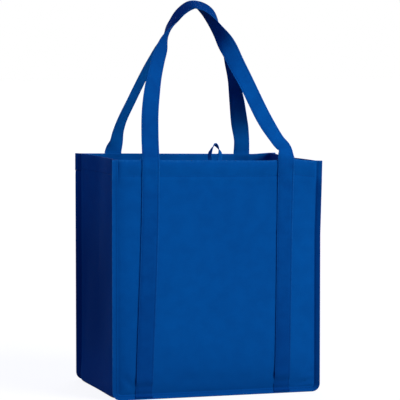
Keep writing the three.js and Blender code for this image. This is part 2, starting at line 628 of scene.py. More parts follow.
def spunbond_group() -> bpy.types.NodeTree:
    """The pressed lattice of bond points and the loose fibres between them.

    Returns:
        A group with Flat and Pitch inputs, and Height, Bond and Fibre outputs.
    """
    sheet, given, result = new_group(
        LATTICE_GROUP,
        [("Flat", "Vector"), ("Pitch", "Float")],
        [("Height", "Float"), ("Bond", "Float"), ("Fibre", "Float")],
    )
    flat = given.outputs["Flat"]
    lattice = sheet.scaled(flat, sheet.math("DIVIDE", 1.0, given.outputs["Pitch"]))
    cells = sheet.add("ShaderNodeTexVoronoi", voronoi_dimensions="2D", feature="F1")
    sheet.feed(cells.inputs["Vector"], sheet.stretched(lattice, *BOND_LATTICE))
    cells.inputs["Scale"].default_value = 1.0
    cells.inputs["Randomness"].default_value = 0.0
    bond = sheet.span(cells.outputs["Distance"], *BOND_EDGE, 1.0, 0.0)
    strands = [
        sheet.noise(sheet.stretched(flat, lie, FIBRE_STRETCH), fineness, FIBRE_DETAIL)
        for lie, fineness in FIBRE_SETS
    ]
    fibre = sheet.math("MAXIMUM", *strands)
    height = sheet.math("SUBTRACT", sheet.math("MULTIPLY", fibre, FIBRE_HEIGHT), bond)
    for label, source in (("Height", height), ("Bond", bond), ("Fibre", fibre)):
        sheet.feed(result.inputs[label], source)
    return sheet.tree


def tone_group() -> bpy.types.NodeTree:
    """Cloth colour with thin and thick patches, pale worn edges and painted shade.

    Returns:
        A group that gives Colour and Roughness.
    """
    colours = [(label, "Color") for label in ("Colour", "Deep", "Pale")]
    values = [(label, "Float") for label in ("Bond", "Fibre", "Wear", "PaintedShade")]
    sheet, given, result = new_group(
        TONE_GROUP,
        [("Flat", "Vector"), *colours, *values],
        [("Colour", "Color"), ("Roughness", "Float")],
    )
    flat, plain, deep, pale, bond, fibre, wear, painted_darkening = list(given.outputs)[:8]
    patches = THICK_PATCHES.mask(sheet, flat)
    thick = sheet.math("ADD", patches, THICK_DRIFTS.mask(sheet, flat))
    worn = sheet.math("MULTIPLY", wear, RUBBED_PATCHES.mask(sheet, flat))
    colour = sheet.blend(thick, plain, deep)
    colour = sheet.blend(sheet.math("MULTIPLY", bond, BOND_DEEPENS), colour, deep)
    colour = sheet.blend(sheet.span(fibre, *LIT_FIBRES), colour, pale)
    colour = sheet.blend(worn, colour, pale)
    # painted shade: the mask darkens the colour towards the deep colour
    colour = sheet.blend(painted_darkening, colour, deep)
    sheet.feed(result.inputs["Colour"], colour)
    rough = sheet.math("SUBTRACT", CLOTH_ROUGHNESS, sheet.math("MULTIPLY", bond, BOND_GLOSS))
    rough = sheet.math("SUBTRACT", rough, sheet.math("MULTIPLY", worn, WORN_GLOSS))
    sheet.feed(result.inputs["Roughness"], rough)
    return sheet.tree


def place_group(
    sheet: NodeSheet, name: str, make: Callable[[], bpy.types.NodeTree]
) -> bpy.types.Node:
    """Places a shared group in a material, and makes it the first time that it is asked for.

    Args:
        sheet: Node sheet of the material.
        name: Name of the group.
        make: Function that makes the group.

    Returns:
        The group's node.
    """
    tree = bpy.data.node_groups.get(name) or make()
    return sheet.add("ShaderNodeGroup", node_tree=tree)


def new_material(name: str) -> tuple[Material, NodeSheet]:
    """A new material and its empty node sheet.

    Args:
        name: Name of the material.

    Returns:
        The material and the sheet.
    """
    material = bpy.data.materials.new(name)
    material.use_nodes = True
    return material, NodeSheet(material.node_tree)


def close_surface(sheet: NodeSheet, shader: Socket) -> None:
    """Joins a shader to the material's output."""
    output = sheet.add("ShaderNodeOutputMaterial")
    sheet.feed(output.inputs["Surface"], shader)


def close_matte(
    sheet: NodeSheet, colour: Socket, roughness: object, normal: Socket, specular: float
) -> None:
    """Ends a material with one matte shader.

    Args:
        sheet: Node sheet of the material.
        colour: Base colour.
        roughness: Roughness, as a socket or a plain value.
        normal: Normal of the fine relief.
        specular: Specular level.
    """
    shader = sheet.add("ShaderNodeBsdfPrincipled")
    shader.inputs["Specular IOR Level"].default_value = specular
    for label, source in (("Base Color", colour), ("Roughness", roughness), ("Normal", normal)):
        sheet.feed(shader.inputs[label], source)
    close_surface(sheet, shader.outputs["BSDF"])


@dataclass(frozen=True)
class ClothFinish:
    """Matte spunbond cloth with pressed bond points."""

    name: str
    colour: Colour = (0.0, 84.0, 158.0)
    deep: Colour = (0.0, 63.0, 128.0)
    pale: Colour = (30.0, 110.0, 180.0)
    pitch: float = 1.3
    emboss: float = 0.5
    emboss_depth: float = 0.12
    specular: float = 0.03

    def material(self) -> Material:
        """Builds the material.

        Returns:
            The new material.
        """
        material, sheet = new_material(self.name)
        flat = sheet.add("ShaderNodeUVMap", uv_map=CLOTH_MAP).outputs["UV"]
        lattice = place_group(sheet, LATTICE_GROUP, spunbond_group)
        sheet.feed(lattice.inputs["Flat"], flat)
        lattice.inputs["Pitch"].default_value = self.pitch * METRES
        tone = place_group(sheet, TONE_GROUP, tone_group)
        sheet.feed(tone.inputs["Flat"], flat)
        for label, colour in (("Colour", self.colour), ("Deep", self.deep), ("Pale", self.pale)):
            tone.inputs[label].default_value = linear(colour)
        for label in ("Bond", "Fibre"):
            sheet.feed(tone.inputs[label], lattice.outputs[label])
        # the second mask is painted shade
        for label, mask in (("Wear", WEAR_MASK), ("PaintedShade", SHADE_MASK)):
            reader = sheet.add("ShaderNodeAttribute", attribute_name=mask)
            sheet.feed(tone.inputs[label], reader.outputs["Fac"])
        normal = sheet.bump(lattice.outputs["Height"], self.emboss, self.emboss_depth)
        rough = tone.outputs["Roughness"]
        close_matte(sheet, tone.outputs["Colour"], rough, normal, self.specular)
        return material


@dataclass(frozen=True)
class ThreadFinish:
    """Twisted sewing thread a little darker than the cloth."""

    name: str
    colour: Colour = (4.0, 72.0, 146.0)
    deep: Colour = (0.0, 46.0, 104.0)
    ply: float = 0.32
    ply_bands: float = 0.5
    relief: float = 0.4
    relief_depth: float = 0.06
    roughness: float = 0.62
    specular: float = 0.03

    def material(self) -> Material:
        """Builds the material.

        Returns:
            The new material.
        """
        material, sheet = new_material(self.name)
        flat = sheet.add("ShaderNodeUVMap", uv_map=CLOTH_MAP).outputs["UV"]
        twist = sheet.add("ShaderNodeTexWave", wave_type="BANDS", bands_direction="DIAGONAL")
        sheet.feed(twist.inputs["Vector"], sheet.scaled(flat, 1.0 / (self.ply * METRES)))
        twist.inputs["Scale"].default_value = self.ply_bands
        strand = twist.outputs["Fac"]
        colour = sheet.blend(strand, linear(self.deep), linear(self.colour))
        normal = sheet.bump(strand, self.relief, self.relief_depth)
        close_matte(sheet, colour, self.roughness, normal, self.specular)
        return material


@dataclass(frozen=True)
class BoardFinish:
    """Dark pressed board with a fine pebble and faint rub marks."""

    name: str
    colour: Colour = (88.0, 91.0, 95.0)
    pale: Colour = (116.0, 118.0, 121.0)
    specks: Mottle = Mottle(420.0, 3.0, 0.5, 0.75, 0.0, 0.5)
    rubs: Mottle = Mottle(3.0, 4.0, 0.56, 0.72, 0.0, 0.35)
    rub_turn: float = 35.0
    rub_stretch: tuple[float, float, float] = (6.0, 90.0, 1.0)
    pebble: float = 900.0
    relief: float = 0.35
    relief_depth: float = 0.1
    roughness: float = 0.68
    rub_gloss: float = 0.3
    specular: float = 0.3

    def material(self) -> Material:
        """Builds the material.

        Returns:
            The new material.
        """
        material, sheet = new_material(self.name)
        place = sheet.add("ShaderNodeTexCoord").outputs["Object"]
        pebble = sheet.add("ShaderNodeTexVoronoi", feature="SMOOTH_F1")
        sheet.feed(pebble.inputs["Vector"], place)
        pebble.inputs["Scale"].default_value = self.pebble
        speck = self.specks.mask(sheet, place)
        rub = self.rubs.mask(sheet, sheet.stretched(place, self.rub_turn, self.rub_stretch))
        marks = sheet.math("MAXIMUM", speck, rub)
        colour = sheet.blend(marks, linear(self.colour), linear(self.pale))
        gloss = sheet.math("MULTIPLY", rub, self.rub_gloss)
        rough = sheet.math("SUBTRACT", self.roughness, gloss)
        normal = sheet.bump(pebble.outputs["Distance"], self.relief, self.relief_depth)
        close_matte(sheet, colour, rough, normal, self.specular)
        return material


def white_rays(sheet: NodeSheet) -> Socket:
    """Tells the rays that show the background itself from those that light the bag.

    Args:
        sheet: Node sheet of the background.

    Returns:
        A socket with 1 for the first and 0 for the others.
    """
    path = sheet.add("ShaderNodeLightPath")
    seen = sheet.math("MAXIMUM", path.outputs["Is Camera Ray"], path.outputs["Is Glossy Ray"])
    return sheet.math("MAXIMUM", seen, path.outputs["Is Transmission Ray"])


@dataclass(frozen=True)
class FloorFinish:
    """White paper that keeps a faint shadow and throws little light back."""

    name: str
    shadow: float = 0.22
    glow: float = 1.16
    bounce: float = 0.15

    def material(self) -> Material:
        """Builds the material.

        Returns:
            The new material.
        """
        material, sheet = new_material(self.name)
        paper = sheet.add("ShaderNodeBsdfDiffuse")
        paper.inputs["Color"].default_value = WHITE
        glow = sheet.add("ShaderNodeEmission")
        glow.inputs["Strength"].default_value = self.glow
        seen = sheet.choice(self.shadow, glow.outputs["Emission"], paper.outputs["BSDF"])
        dull = sheet.add("ShaderNodeBsdfDiffuse")
        dull.inputs["Color"].default_value = (self.bounce, self.bounce, self.bounce, 1.0)
        floor = sheet.choice(white_rays(sheet), dull.outputs["BSDF"], seen)
        close_surface(sheet, floor)
        return material


# The shape of the sewn bag


@dataclass(frozen=True)
class Crease:
    """A soft crease in a panel from one place to another, in panel millimetres."""

    start: tuple[float, float]
    end: tuple[float, float]
    depth: float
    width: float
    ridge: float = 0.45
    ridge_at: float = 2.0
    fade_in: Ramp = Ramp(-0.15, 0.25)
    fade_out: Ramp = Ramp(0.6, 1.15)

    def sink(self, across: Array, high: Array) -> Array:
        """How deep the cloth lies in the crease, and how far it stands up beside it.

        Args:
            across: Sideways places.
            high: Heights.

        Returns:
            The depth, less where the cloth stands up.
        """
        run = np.subtract(self.end, self.start)
        length = float(np.hypot(*run))
        step_a = across - self.start[0]
        step_h = high - self.start[1]
        share = (step_a * run[0] + step_h * run[1]) / length**2
        off = (step_a * run[1] - step_h * run[0]) / length
        taper = self.fade_in.at(share) * (1.0 - self.fade_out.at(share))
        beside = self.ridge_at * self.width
        ridge = self.ridge * (mound(off, beside, self.width) + mound(off, -beside, self.width))
        return self.depth * taper * (mound(off, 0.0, self.width) - ridge)


@dataclass(frozen=True)
class Ripple:
    """A long soft wave in the cloth."""

    height: float
    across: float
    up: float
    phase: float

    def rise(self, across: Array, high: Array) -> Array:
        """Height of the wave at each place."""
        return self.height * np.sin(across / self.across + high / self.up + self.phase)


@dataclass(frozen=True)
class Pucker:
    """Small gathers along a seam, with an uneven pitch, that fade away beside it."""

    pitch: float
    drift: float
    drift_pitch: float
    reach: float

    def depth(self, place: Array, away: Array, phase: float = 0.0) -> Array:
        """Depth of the gathers from 0 to 1.

        Args:
            place: Places along the seam.
            away: Distances from the seam.
            phase: Shift of the gathers.

        Returns:
            The depth at each place.
        """
        wave = np.sin(place / self.pitch + self.drift * np.sin(place / self.drift_pitch) + phase)
        return (0.5 + 0.5 * wave) * np.exp(-np.abs(away) / self.reach)


@dataclass
class BagForm:
    """Sizes of the sewn bag that all its pieces share, in millimetres."""

    half_width: float
    height: float
    half_depth: float
    flange: float = 7.0
    side_flange: float = 8.3
    base_flange: float = 8.0
    flange_stitch: float = 4.9
    corner: float = 10.5
    hem: float = 24.0
    hem_stitch: float = 22.0
    hem_spacing: float = 4.0
    stitch_rows: tuple[float, float, float] = (-2.0, 0.0, 2.5)
    cloth: float = 0.65
    fold: float = 1.5
    fold_steps: int = 8
    fold_wear: float = 1.6
    fray: float = 0.8
    thread_gap: float = 0.02
    lean: float = 2.8
    lean_from: float = 225.0
    lean_limit: float = 1.4
    narrow: float = 3.8
    right_side: Ramp = Ramp(40.0, 140.0)
    roll: float = 0.0175
    pull: float = 3.4
    pull_at: float = 105.0
    pull_reach: float = 17.0
    pull_up: Ramp = Ramp(200.0, 330.0)
    pull_front: Ramp = Ramp(30.0, -80.0)
    back_shift: float = 2.0
    shift_side: Ramp = Ramp(-40.0, -130.0)
    shift_back: Ramp = Ramp(-20.0, 90.0)
    back_tip: float = 2.1
    tip_side: Ramp = Ramp(116.0, 150.0)
    tip_back: Ramp = Ramp(20.0, 95.0)
    tip_up: Ramp = Ramp(250.0, 330.0)

    @classmethod
    def from_frame(cls) -> "BagForm":
        """Reads the bag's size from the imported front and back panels.

        Returns:
            The bag with that size.
        """
        low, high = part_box("front_panel")
        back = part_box("back_panel")[1]
        return cls(high.x / METRES, high.z / METRES, 0.5 * (back.y - low.y) / METRES)

    @property
    def inner(self) -> float:
        """Sideways place where a bottom corner begins."""
        return self.half_width - self.corner

    @property
    def rim(self) -> float:
        """Height at which the fold of a hem begins to turn over."""
        return self.height - 0.5 * self.fold

    @property
    def stitch_line(self) -> float:
        """Height of the seam that holds the hem down."""
        return self.height - self.hem_stitch

    @property
    def stitch_marks(self) -> tuple[float, ...]:
        """Heights of the rows of cloth at that seam and close to it."""
        return tuple(self.stitch_line + row for row in self.stitch_rows)

    @property
    def raw_edge(self) -> float:
        """Height of the hem's cut edge on the inside."""
        return self.height - self.hem

    def settle(self, points: Array) -> Array:
        """Moves points of the straight bag to where the standing bag has them.

        Args:
            points: Points of the straight bag.

        Returns:
            The same points with the right side drawn in and leaning out towards the rim, the rim
            lower on the right and drawn up at one strap, the back's left side standing out and
            the back's right top corner tipped up.
        """
        x, y, z = (points[..., axis] for axis in range(3))
        climb = (z - self.lean_from) / (self.height - self.lean_from)
        lean = self.lean * np.clip(climb, 0.0, self.lean_limit) - self.narrow
        moved = points.copy()
        moved[..., 0] += lean * self.right_side.at(x)
        moved[..., 0] -= self.back_shift * self.shift_side.at(x) * self.shift_back.at(y)
        tug = mound(x, self.pull_at, self.pull_reach) * self.pull_up.at(z) * self.pull_front.at(y)
        tip = self.tip_side.at(x) * self.tip_back.at(y) * self.tip_up.at(z)
        moved[..., 2] += self.pull * tug + self.back_tip * tip
        moved[..., 2] -= self.roll * x * soft_step(0.0, self.height, z)
        return moved

    def hem_rows(self) -> Array:
        """Rows of a hem past its rim: height, and how far the cloth lies behind the outer face.

        Returns:
            One row each, over the fold and down to the cut edge.
        """
        radius = 0.5 * self.fold
        turn = np.linspace(0.0, math.pi, self.fold_steps)[1:]
        over = np.stack([self.rim + radius * np.sin(turn), radius * (1.0 - np.cos(turn))], axis=1)
        heights = spaced(self.raw_edge, self.rim, self.hem_spacing, (self.stitch_line,))
        down = heights[::-1][1:]
        return np.concatenate([over, np.stack([down, np.full_like(down, self.fold)], axis=1)])


@dataclass
class EdgePath:
    """The U of a panel's sides and bottom, as rows that every ring of cloth shares."""

    bag: BagForm
    heights: Array
    columns: Array
    arc_steps: int = 10

    def _parts(self, side: Array, arc_left: Array, bottom: Array, arc_right: Array) -> Array:
        """One value per row of the whole U, from its parts."""
        return np.concatenate([side[0], arc_left, bottom, arc_right, side[1]])

    def _turns(self) -> Array:
        """Angles inside a bottom corner, without its two ends."""
        return np.linspace(0.0, 0.5 * math.pi, self.arc_steps + 1)[1:-1]

    def ring(self, inset: float) -> tuple[Array, Array]:
        """The U moved inwards from the panel's outline.

        Args:
            inset: Distance from the outline.

        Returns:
            Sideways places and heights.
        """
        bag = self.bag
        radius = bag.corner - inset
        turn = self._turns()
        flat_side = np.full(len(self.heights), bag.half_width - inset)
        across = self._parts(
            np.stack([-flat_side, flat_side]),
            -bag.inner - radius * np.cos(turn),
            self.columns,
            bag.inner + radius * np.sin(turn),
        )
        high = self._parts(
            np.stack([self.heights, self.heights[::-1]]),
            bag.corner - radius * np.sin(turn),
            np.full(len(self.columns), inset),
            bag.corner - radius * np.cos(turn),
        )
        return across, high

    def inward(self) -> tuple[Array, Array]:
        """Direction into the bag on each row.

        Returns:
            Its sideways part and its upward part.
        """
        turn = self._turns()
        side, base = np.ones(len(self.heights)), np.ones(len(self.columns))
        across = self._parts(np.stack([side, -side]), np.cos(turn), 0.0 * base, -np.sin(turn))
        high = self._parts(np.stack([0.0 * side] * 2), np.sin(turn), base, np.cos(turn))
        return across, high


@dataclass(frozen=True)
class FlangeLean:
    """How far the flanges of one panel lean forward out of its plane, in degrees."""

    start: float
    end: float
    bottom: float
    hem_start: float
    hem_end: float


@dataclass(frozen=True)
class Leg:
    """Where the middle of a sewn strap runs along X, at the rim and at its foot."""

    top: float
    foot: float
    bend_from: float = -60.0

    def middle(self, rim: float, high: Array) -> Array:
        """World X of the middle line at each height, on a bag with its rim at the given height."""
        return self.foot + (self.top - self.foot) * soft_step(self.bend_from, rim, high)


@dataclass
class PanelForm:
    """Shape of the outer face of a front or back panel.

    Across runs along +X on the front and along -X on the back, as each is seen from outside.
    """

    bag: BagForm
    face: Face
    lean: FlangeLean
    ripples: Sequence[Ripple]
    creases: Sequence[Crease]
    legs: tuple[Leg, Leg]
    strap_width: float = 25.0
    puff: float = 3.0
    puff_reach: float = 11.0
    puff_end: float = 0.3
    puff_fade: Ramp = Ramp(90.0, 150.0)
    puff_kept: float = 0.45
    belly: float = 3.4
    belly_reach: float = 48.0
    hem_puff: float = 1.7
    hem_puff_reach: float = 2.6
    hem_puff_rise: Ramp = Ramp(-12.0, 3.0)
    hem_lean_rise: Ramp = Ramp(-9.0, 6.0)
    rim_hold: float = 0.62
    hold_from: float = 150.0
    ripple_reach: float = 24.0
    ripple_kept: float = 0.35
    valley: float = 1.9
    valley_below: float = 6.5
    valley_above: float = 10.0
    rim_roll: float = 1.9
    rim_roll_rise: Ramp = Ramp(-8.0, 2.0)
    seam_reach: float = 5.0
    pucker: float = 0.22
    hem_pucker: Pucker = Pucker(2.1, 1.7, 13.0, 5.0)
    strap_pucker: Pucker = Pucker(2.4, 1.5, 17.0, 4.0)
    seam_ramp: float = 4.0
    normal_step: float = 0.4

    def inset(self, across: Array, high: Array) -> Array:
        """Distance inside the panel's outline.

        Args:
            across: Sideways places.
            high: Heights.

        Returns:
            The distances.
        """
        bag = self.bag
        side = bag.half_width - np.abs(across)
        round_off = bag.corner - np.hypot(bag.corner - side, bag.corner - high)
        in_corner = (side < bag.corner) & (high < bag.corner)
        return np.where(in_corner, round_off, np.minimum(side, high))

    def body(self, across: Array, high: Array) -> Array:
        """Distance inside the seam, and 0 on the flange."""
        return np.clip(self.inset(across, high) - self.bag.flange, 0.0, None)

    def on_flange(self, across: Array, high: Array) -> Array:
        """0 at the seam and inside it, rising to 1 at the cut edge of the flange."""
        return np.clip(self.bag.flange - self.inset(across, high), 0.0, None) / self.bag.flange

    def beside_straps(self, across: Array, high: Array) -> list[Array]:
        """Distance of each place from the middle line of each sewn strap."""
        out, rim = self.face.value, self.bag.height
        return [np.abs(across + out * leg.middle(rim, high)) for leg in self.legs]

    def edge(self, across: Array, high: Array) -> tuple[Array, Array]:
        """Direction out of the panel's outline near it.

        Args:
            across: Sideways places.
            high: Heights.

        Returns:
            Its sideways part and its upward part.
        """
        bag = self.bag
        sideways = np.clip(np.abs(across) - bag.inner, 0.0, None)
        down = np.clip(bag.corner - high, 0.0, None)
        reach = np.maximum(np.hypot(sideways, down), 1e-6)
        return np.sign(across) * sideways / reach, -down / reach

    def lean_at(self, across: Array, high: Array) -> Array:
        """How far the flange leans forward beside each place.

        Args:
            across: Sideways places.
            high: Heights.

        Returns:
            The lean in radians.
        """
        lean = self.lean
        low = self.edge(across, high)[1] ** 2
        hem = self.hem_lean_rise.at(high - self.bag.raw_edge)
        start = lean.start + (lean.hem_start - lean.start) * hem
        end = lean.end + (lean.hem_end - lean.end) * hem
        side = np.where(across < 0.0, start, end)
        return np.radians(side + (lean.bottom - side) * low)

    def slope(self, across: Array, high: Array) -> Array:
        """Width of the flange along its own slope beside each place."""
        low = self.edge(across, high)[1] ** 2
        return self.bag.side_flange + (self.bag.base_flange - self.bag.side_flange) * low

    def calm(self, across: Array, high: Array) -> Array:
        """Offset of the outer face without its hem and its small puckers.

        Args:
            across: Sideways places.
            high: Heights.

        Returns:
            Distance out of the flat panel.
        """
        bag = self.bag
        body = self.body(across, high)
        held = 1.0 - self.rim_hold * soft_step(self.hold_from, bag.height, high)
        puff = self.puff * (1.0 - (1.0 - self.puff_end) * self.puff_fade.at(across))
        puff_held = self.puff_kept + (1.0 - self.puff_kept) * held
        offset = puff * fill(body, self.puff_reach) * puff_held
        offset += self.belly * fill(body, self.belly_reach) * held
        hem = self.hem_puff_rise.at(high - bag.raw_edge)
        offset += self.hem_puff * hem * fill(body, self.hem_puff_reach)
        ripple_held = self.ripple_kept + (1.0 - self.ripple_kept) * held
        for ripple in self.ripples:
            offset += fill(body, self.ripple_reach) * ripple_held * ripple.rise(across, high)
        forward = self.slope(across, high) * np.sin(self.lean_at(across, high))
        return offset + self.on_flange(across, high) * forward

    def outward(self, across: Array, high: Array) -> Array:
        """Offset of the outer face from the flat panel, in millimetres.

        Args:
            across: Sideways places.
            high: Heights.

        Returns:
            Distance out of the flat panel.
        """
        bag = self.bag
        below = bag.stitch_line - high
        reach = np.where(below > 0.0, self.valley_below, self.valley_above)
        sunk = self.rim_roll * self.rim_roll_rise.at(high - bag.rim)
        sunk = sunk + self.valley * np.exp(-np.abs(below) / reach)
        sunk += self.pucker * self.hem_pucker.depth(across, below)
        for number, beside in enumerate(self.beside_straps(across, high)):
            away = beside - 0.5 * self.strap_width
            sunk += self.pucker * self.strap_pucker.depth(high, away, number)
        for crease in self.creases:
            sunk += crease.sink(across, high)
        inside = fill(self.body(across, high), self.seam_reach)
        return self.calm(across, high) - inside * sunk

    def place(
        self, across: Array, high: Array, offset: Array, spread: Array | float = 0.0
    ) -> Array:
        """Points of the standing bag from panel coordinates.

        Args:
            across: Sideways places.
            high: Heights.
            offset: Distances out of the flat panel.
            spread: Distances beyond the flange's own place, in the flat panel.

        Returns:
            The points.
        """
        out = self.face.value
        across, high, offset = np.broadcast_arrays(across, high, offset)
        side, up = self.edge(across, high)
        level = self.slope(across, high) * np.cos(self.lean_at(across, high))
        beyond = self.on_flange(across, high) * (level - self.bag.flange) + spread
        x = -out * (across + side * beyond)
        y = out * (self.bag.half_depth + offset)
        return self.bag.settle(np.stack([x, y, high + up * beyond], axis=-1))

    def backing(self, across: Array, high: Array, depth: Array) -> Array:
        """Points square behind the outer face of a flange.

        Args:
            across: Sideways places.
            high: Heights.
            depth: Distances behind the outer face.

        Returns:
            The points.
        """
        low = np.minimum(high, self.bag.rim)
        ramp = np.clip(self.seam_ramp * self.on_flange(across, low), 0.0, 1.0)
        lean = self.lean_at(across, low) * ramp
        offset = self.calm(across, low) - depth * np.cos(lean)
        return self.place(across, high, offset, depth * np.sin(lean))

    def surface(self, across: Array, high: Array, lift: Array | float = 0.0) -> Array:
        """Points a given distance outside the outer face."""
        return self.place(across, high, self.outward(across, high) + lift)

    def normal(self, across: Array, high: Array) -> Array:
        """Direction straight out of the outer face.

        Args:
            across: Sideways places.
            high: Heights.

        Returns:
            One direction per place.
        """
        step = self.normal_step
        sideways = self.surface(across + step, high) - self.surface(across - step, high)
        upward = self.surface(across, high + step) - self.surface(across, high - step)
        return unit(np.cross(sideways, upward))


# Pieces


def finish_piece(piece: Piece, material: Material) -> None:
    """Dresses a piece and lets it ride on the bag.

    Args:
        piece: The piece.
        material: Its material.
    """
    piece.data.materials.append(material)
    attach(piece, BODY)
    LOG.info("%s: %d faces", piece.name, len(piece.data.polygons))


@dataclass
class Stitching:
    """Rows of short raised stitches that become one piece.

    Spread, lift and fat give each ring of a stitch its place along it, its height and its size.
    """

    pitch: float = 3.4
    length: float = 2.7
    radius: float = 0.27
    sides: int = 5
    spread: tuple[float, ...] = (-0.5, -0.28, 0.0, 0.28, 0.5)
    lift: tuple[float, ...] = (-0.75, 0.35, 0.55, 0.35, -0.75)
    fat: tuple[float, ...] = (0.55, 0.95, 1.0, 0.95, 0.55)
    rows: list[tuple[Array, Array]] = field(default_factory=list)

    def add(self, path: Array, normal: Array) -> None:
        """Adds a row of stitches.

        Args:
            path: Points along the seam.
            normal: Outward direction at each of them.
        """
        length = along(path)
        count = int(length[-1] // self.pitch)
        if count < 1:
            return
        middles = (np.arange(count) + 0.5) * length[-1] / count
        wanted = middles[:, None] + np.array(self.spread)[None, :] * self.length
        self.rows.append((sampled(wanted, length, path), unit(sampled(wanted, length, normal))))

    def build(self, name: str, material: Material, slot: Slot) -> Piece:
        """Makes one piece of all the rows.

        Args:
            name: Name of the piece.
            material: Thread material.
            slot: Slot of the cloth that is sewn. Not used.

        Returns:
            The piece.
        """
        draft = MeshDraft()
        lift, fat = np.array(self.lift) * self.radius, np.array(self.fat) * self.radius
        turn = np.arange(self.sides) * 2.0 * math.pi / self.sides
        run = np.linspace(0.0, self.length, len(self.spread))
        clean = np.zeros(1)
        for spine, outward in self.rows:
            ahead = unit(np.gradient(spine, axis=1))
            sideways = unit(np.cross(ahead, outward))
            centre = spine + outward * lift[None, :, None]
            around = (
                sideways[:, :, None, :] * np.cos(turn)[None, None, :, None]
                + outward[:, :, None, :] * np.sin(turn)[None, None, :, None]
            )
            rings = centre[:, :, None, :] + around * fat[None, :, None, None]
            for number, stitch in enumerate(rings):
                flat = np.stack(np.meshgrid(turn * self.radius, number + run), axis=-1)
                index = draft.add_grid(stitch, flat, clean, clean, ring=True)
                draft.add_cap(index[0][::-1])
                draft.add_cap(index[-1])
        piece = draft.build(name, crisp=180.0)
        finish_piece(piece, material)
        return piece


@dataclass
class Panel:
    """A front or back panel with its turned-out edges and its folded hem."""

    form: PanelForm
    name: str
    node: str
    step: float = 3.6
    insets: tuple[float, ...] = (
        *(0.0, 0.5, 1.6, 3.0, 4.3, 5.4, 6.2, 6.7, 7.0),
        *(7.3, 7.8, 8.5, 9.4),
    )
    # painted shade: the cloth is darker towards the bottom of the panel
    low_shade: float = 0.54
    low_shade_reach: float = 52.0
    # painted shade along the seam line beside the flange
    seam_shade: float = 0.15
    seam_shade_reach: float = 1.6
    # painted shade: the cloth under each sewn strap is darker, which shows on the inner face
    backing: float = 0.42
    strap_shade_edge: Ramp = Ramp(0.5, 0.42)
    seam_end: float = 1.5
    seam_step: float = 0.8
    strap_gap: float = 1.0
    shortest_run: int = 5

    def path(self) -> EdgePath:
        """Rows and columns of the panel's cloth.

        Returns:
            The path of its edge.
        """
        bag = self.form.bag
        marks = (bag.raw_edge, *bag.stitch_marks)
        heights = spaced(bag.corner, bag.rim, self.step, marks)[::-1]
        return EdgePath(bag, heights, spaced(-bag.inner, bag.inner, self.step))

    def build(self, material: Material) -> Piece:
        """Makes the panel.

        Args:
            material: Cloth material.

        Returns:
            The panel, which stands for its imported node.
        """
        bag = self.form.bag
        path = self.path()
        draft = MeshDraft()
        edge = [path.ring(inset) for inset in (*self.insets, bag.corner)]
        across = np.stack([ring[0] for ring in edge])
        high = np.stack([ring[1] for ring in edge])
        self._lay(draft, across, high, np.zeros_like(high))
        inner_across, inner_high = np.meshgrid(path.columns, path.heights[::-1])
        self._lay(draft, inner_across, inner_high, np.zeros_like(inner_high))
        top = np.concatenate([across[:-1, 0], path.columns, across[:-1, -1][::-1]])
        hem = np.concatenate([[[bag.rim, 0.0]], bag.hem_rows()])
        hem_across, hem_high = np.meshgrid(top, hem[:, 0])
        self._lay(draft, hem_across, hem_high, np.repeat(hem[:, 1:], len(top), axis=1))
        piece = draft.build(self.name, bag.cloth)
        finish_piece(piece, material)
        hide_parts(self.node)
        return piece

    def _lay(self, draft: MeshDraft, across: Array, high: Array, behind: Array) -> None:
        """Lays a grid of cloth on the panel's shape.

        Args:
            draft: Mesh that the cloth goes to.
            across: Sideways places.
            high: Heights.
            behind: Distances behind the outer face.
        """
        form, bag = self.form, self.form.bag
        flat = np.stack([across, np.where(behind > 0.0, 2.0 * bag.rim - high, high)], axis=-1)
        outline = form.inset(across, high)
        folded = mound(high, bag.height, bag.fold_wear) * (behind < bag.fold)
        wear = np.maximum(mound(outline, 0.0, bag.fray), folded)
        # painted shade along the seam line
        seam = self.seam_shade * mound(outline, bag.flange, self.seam_shade_reach)
        # painted shade under the sewn straps
        near = np.min(form.beside_straps(across, high), axis=0)
        strap_shaded = self.backing * self.strap_shade_edge.at(near / form.strap_width)
        # painted shade, darker towards the bottom
        low_shaded = self.low_shade * mound(high, 0.0, self.low_shade_reach)
        shade = np.maximum(np.maximum(seam, strap_shaded), low_shaded)
        offset = form.outward(across, np.minimum(high, bag.rim)) - behind
        draft.add_grid(form.place(across, high, offset), flat, wear, shade)

    def flat_size(self) -> tuple[float, float]:
        """Size of the cut cloth.

        Returns:
            Its width and length in metres.
        """
        bag = self.form.bag
        width = 2.0 * (bag.half_width - bag.flange + bag.side_flange)
        length = bag.height + bag.hem - bag.flange + bag.base_flange
        return width * METRES, length * METRES

    def sew(self, thread: Stitching) -> None:
        """Adds the hem seam, inside and outside, and the seam on the flange.

        Args:
            thread: Stitching that the rows go to.
        """
        form, bag = self.form, self.form.bag
        reach = bag.half_width - bag.flange - self.seam_end
        across = np.arange(-reach, reach, self.seam_step)
        high = np.full_like(across, bag.stitch_line)
        path, normal = form.surface(across, high), form.normal(across, high)
        near = np.min(form.beside_straps(across, high), axis=0)
        clear = near > 0.5 * form.strap_width + self.strap_gap
        ends = np.flatnonzero(np.diff(clear.astype(int))) + 1
        for run in np.split(np.arange(len(across)), ends):
            if clear[run[0]] and len(run) >= self.shortest_run:
                thread.add(path[run], normal[run])
        thread.add(form.surface(across, high, -bag.fold - bag.thread_gap), -normal)
        ring_across, ring_high = self.path().ring(bag.flange_stitch)
        thread.add(form.surface(ring_across, ring_high), form.normal(ring_across, ring_high))


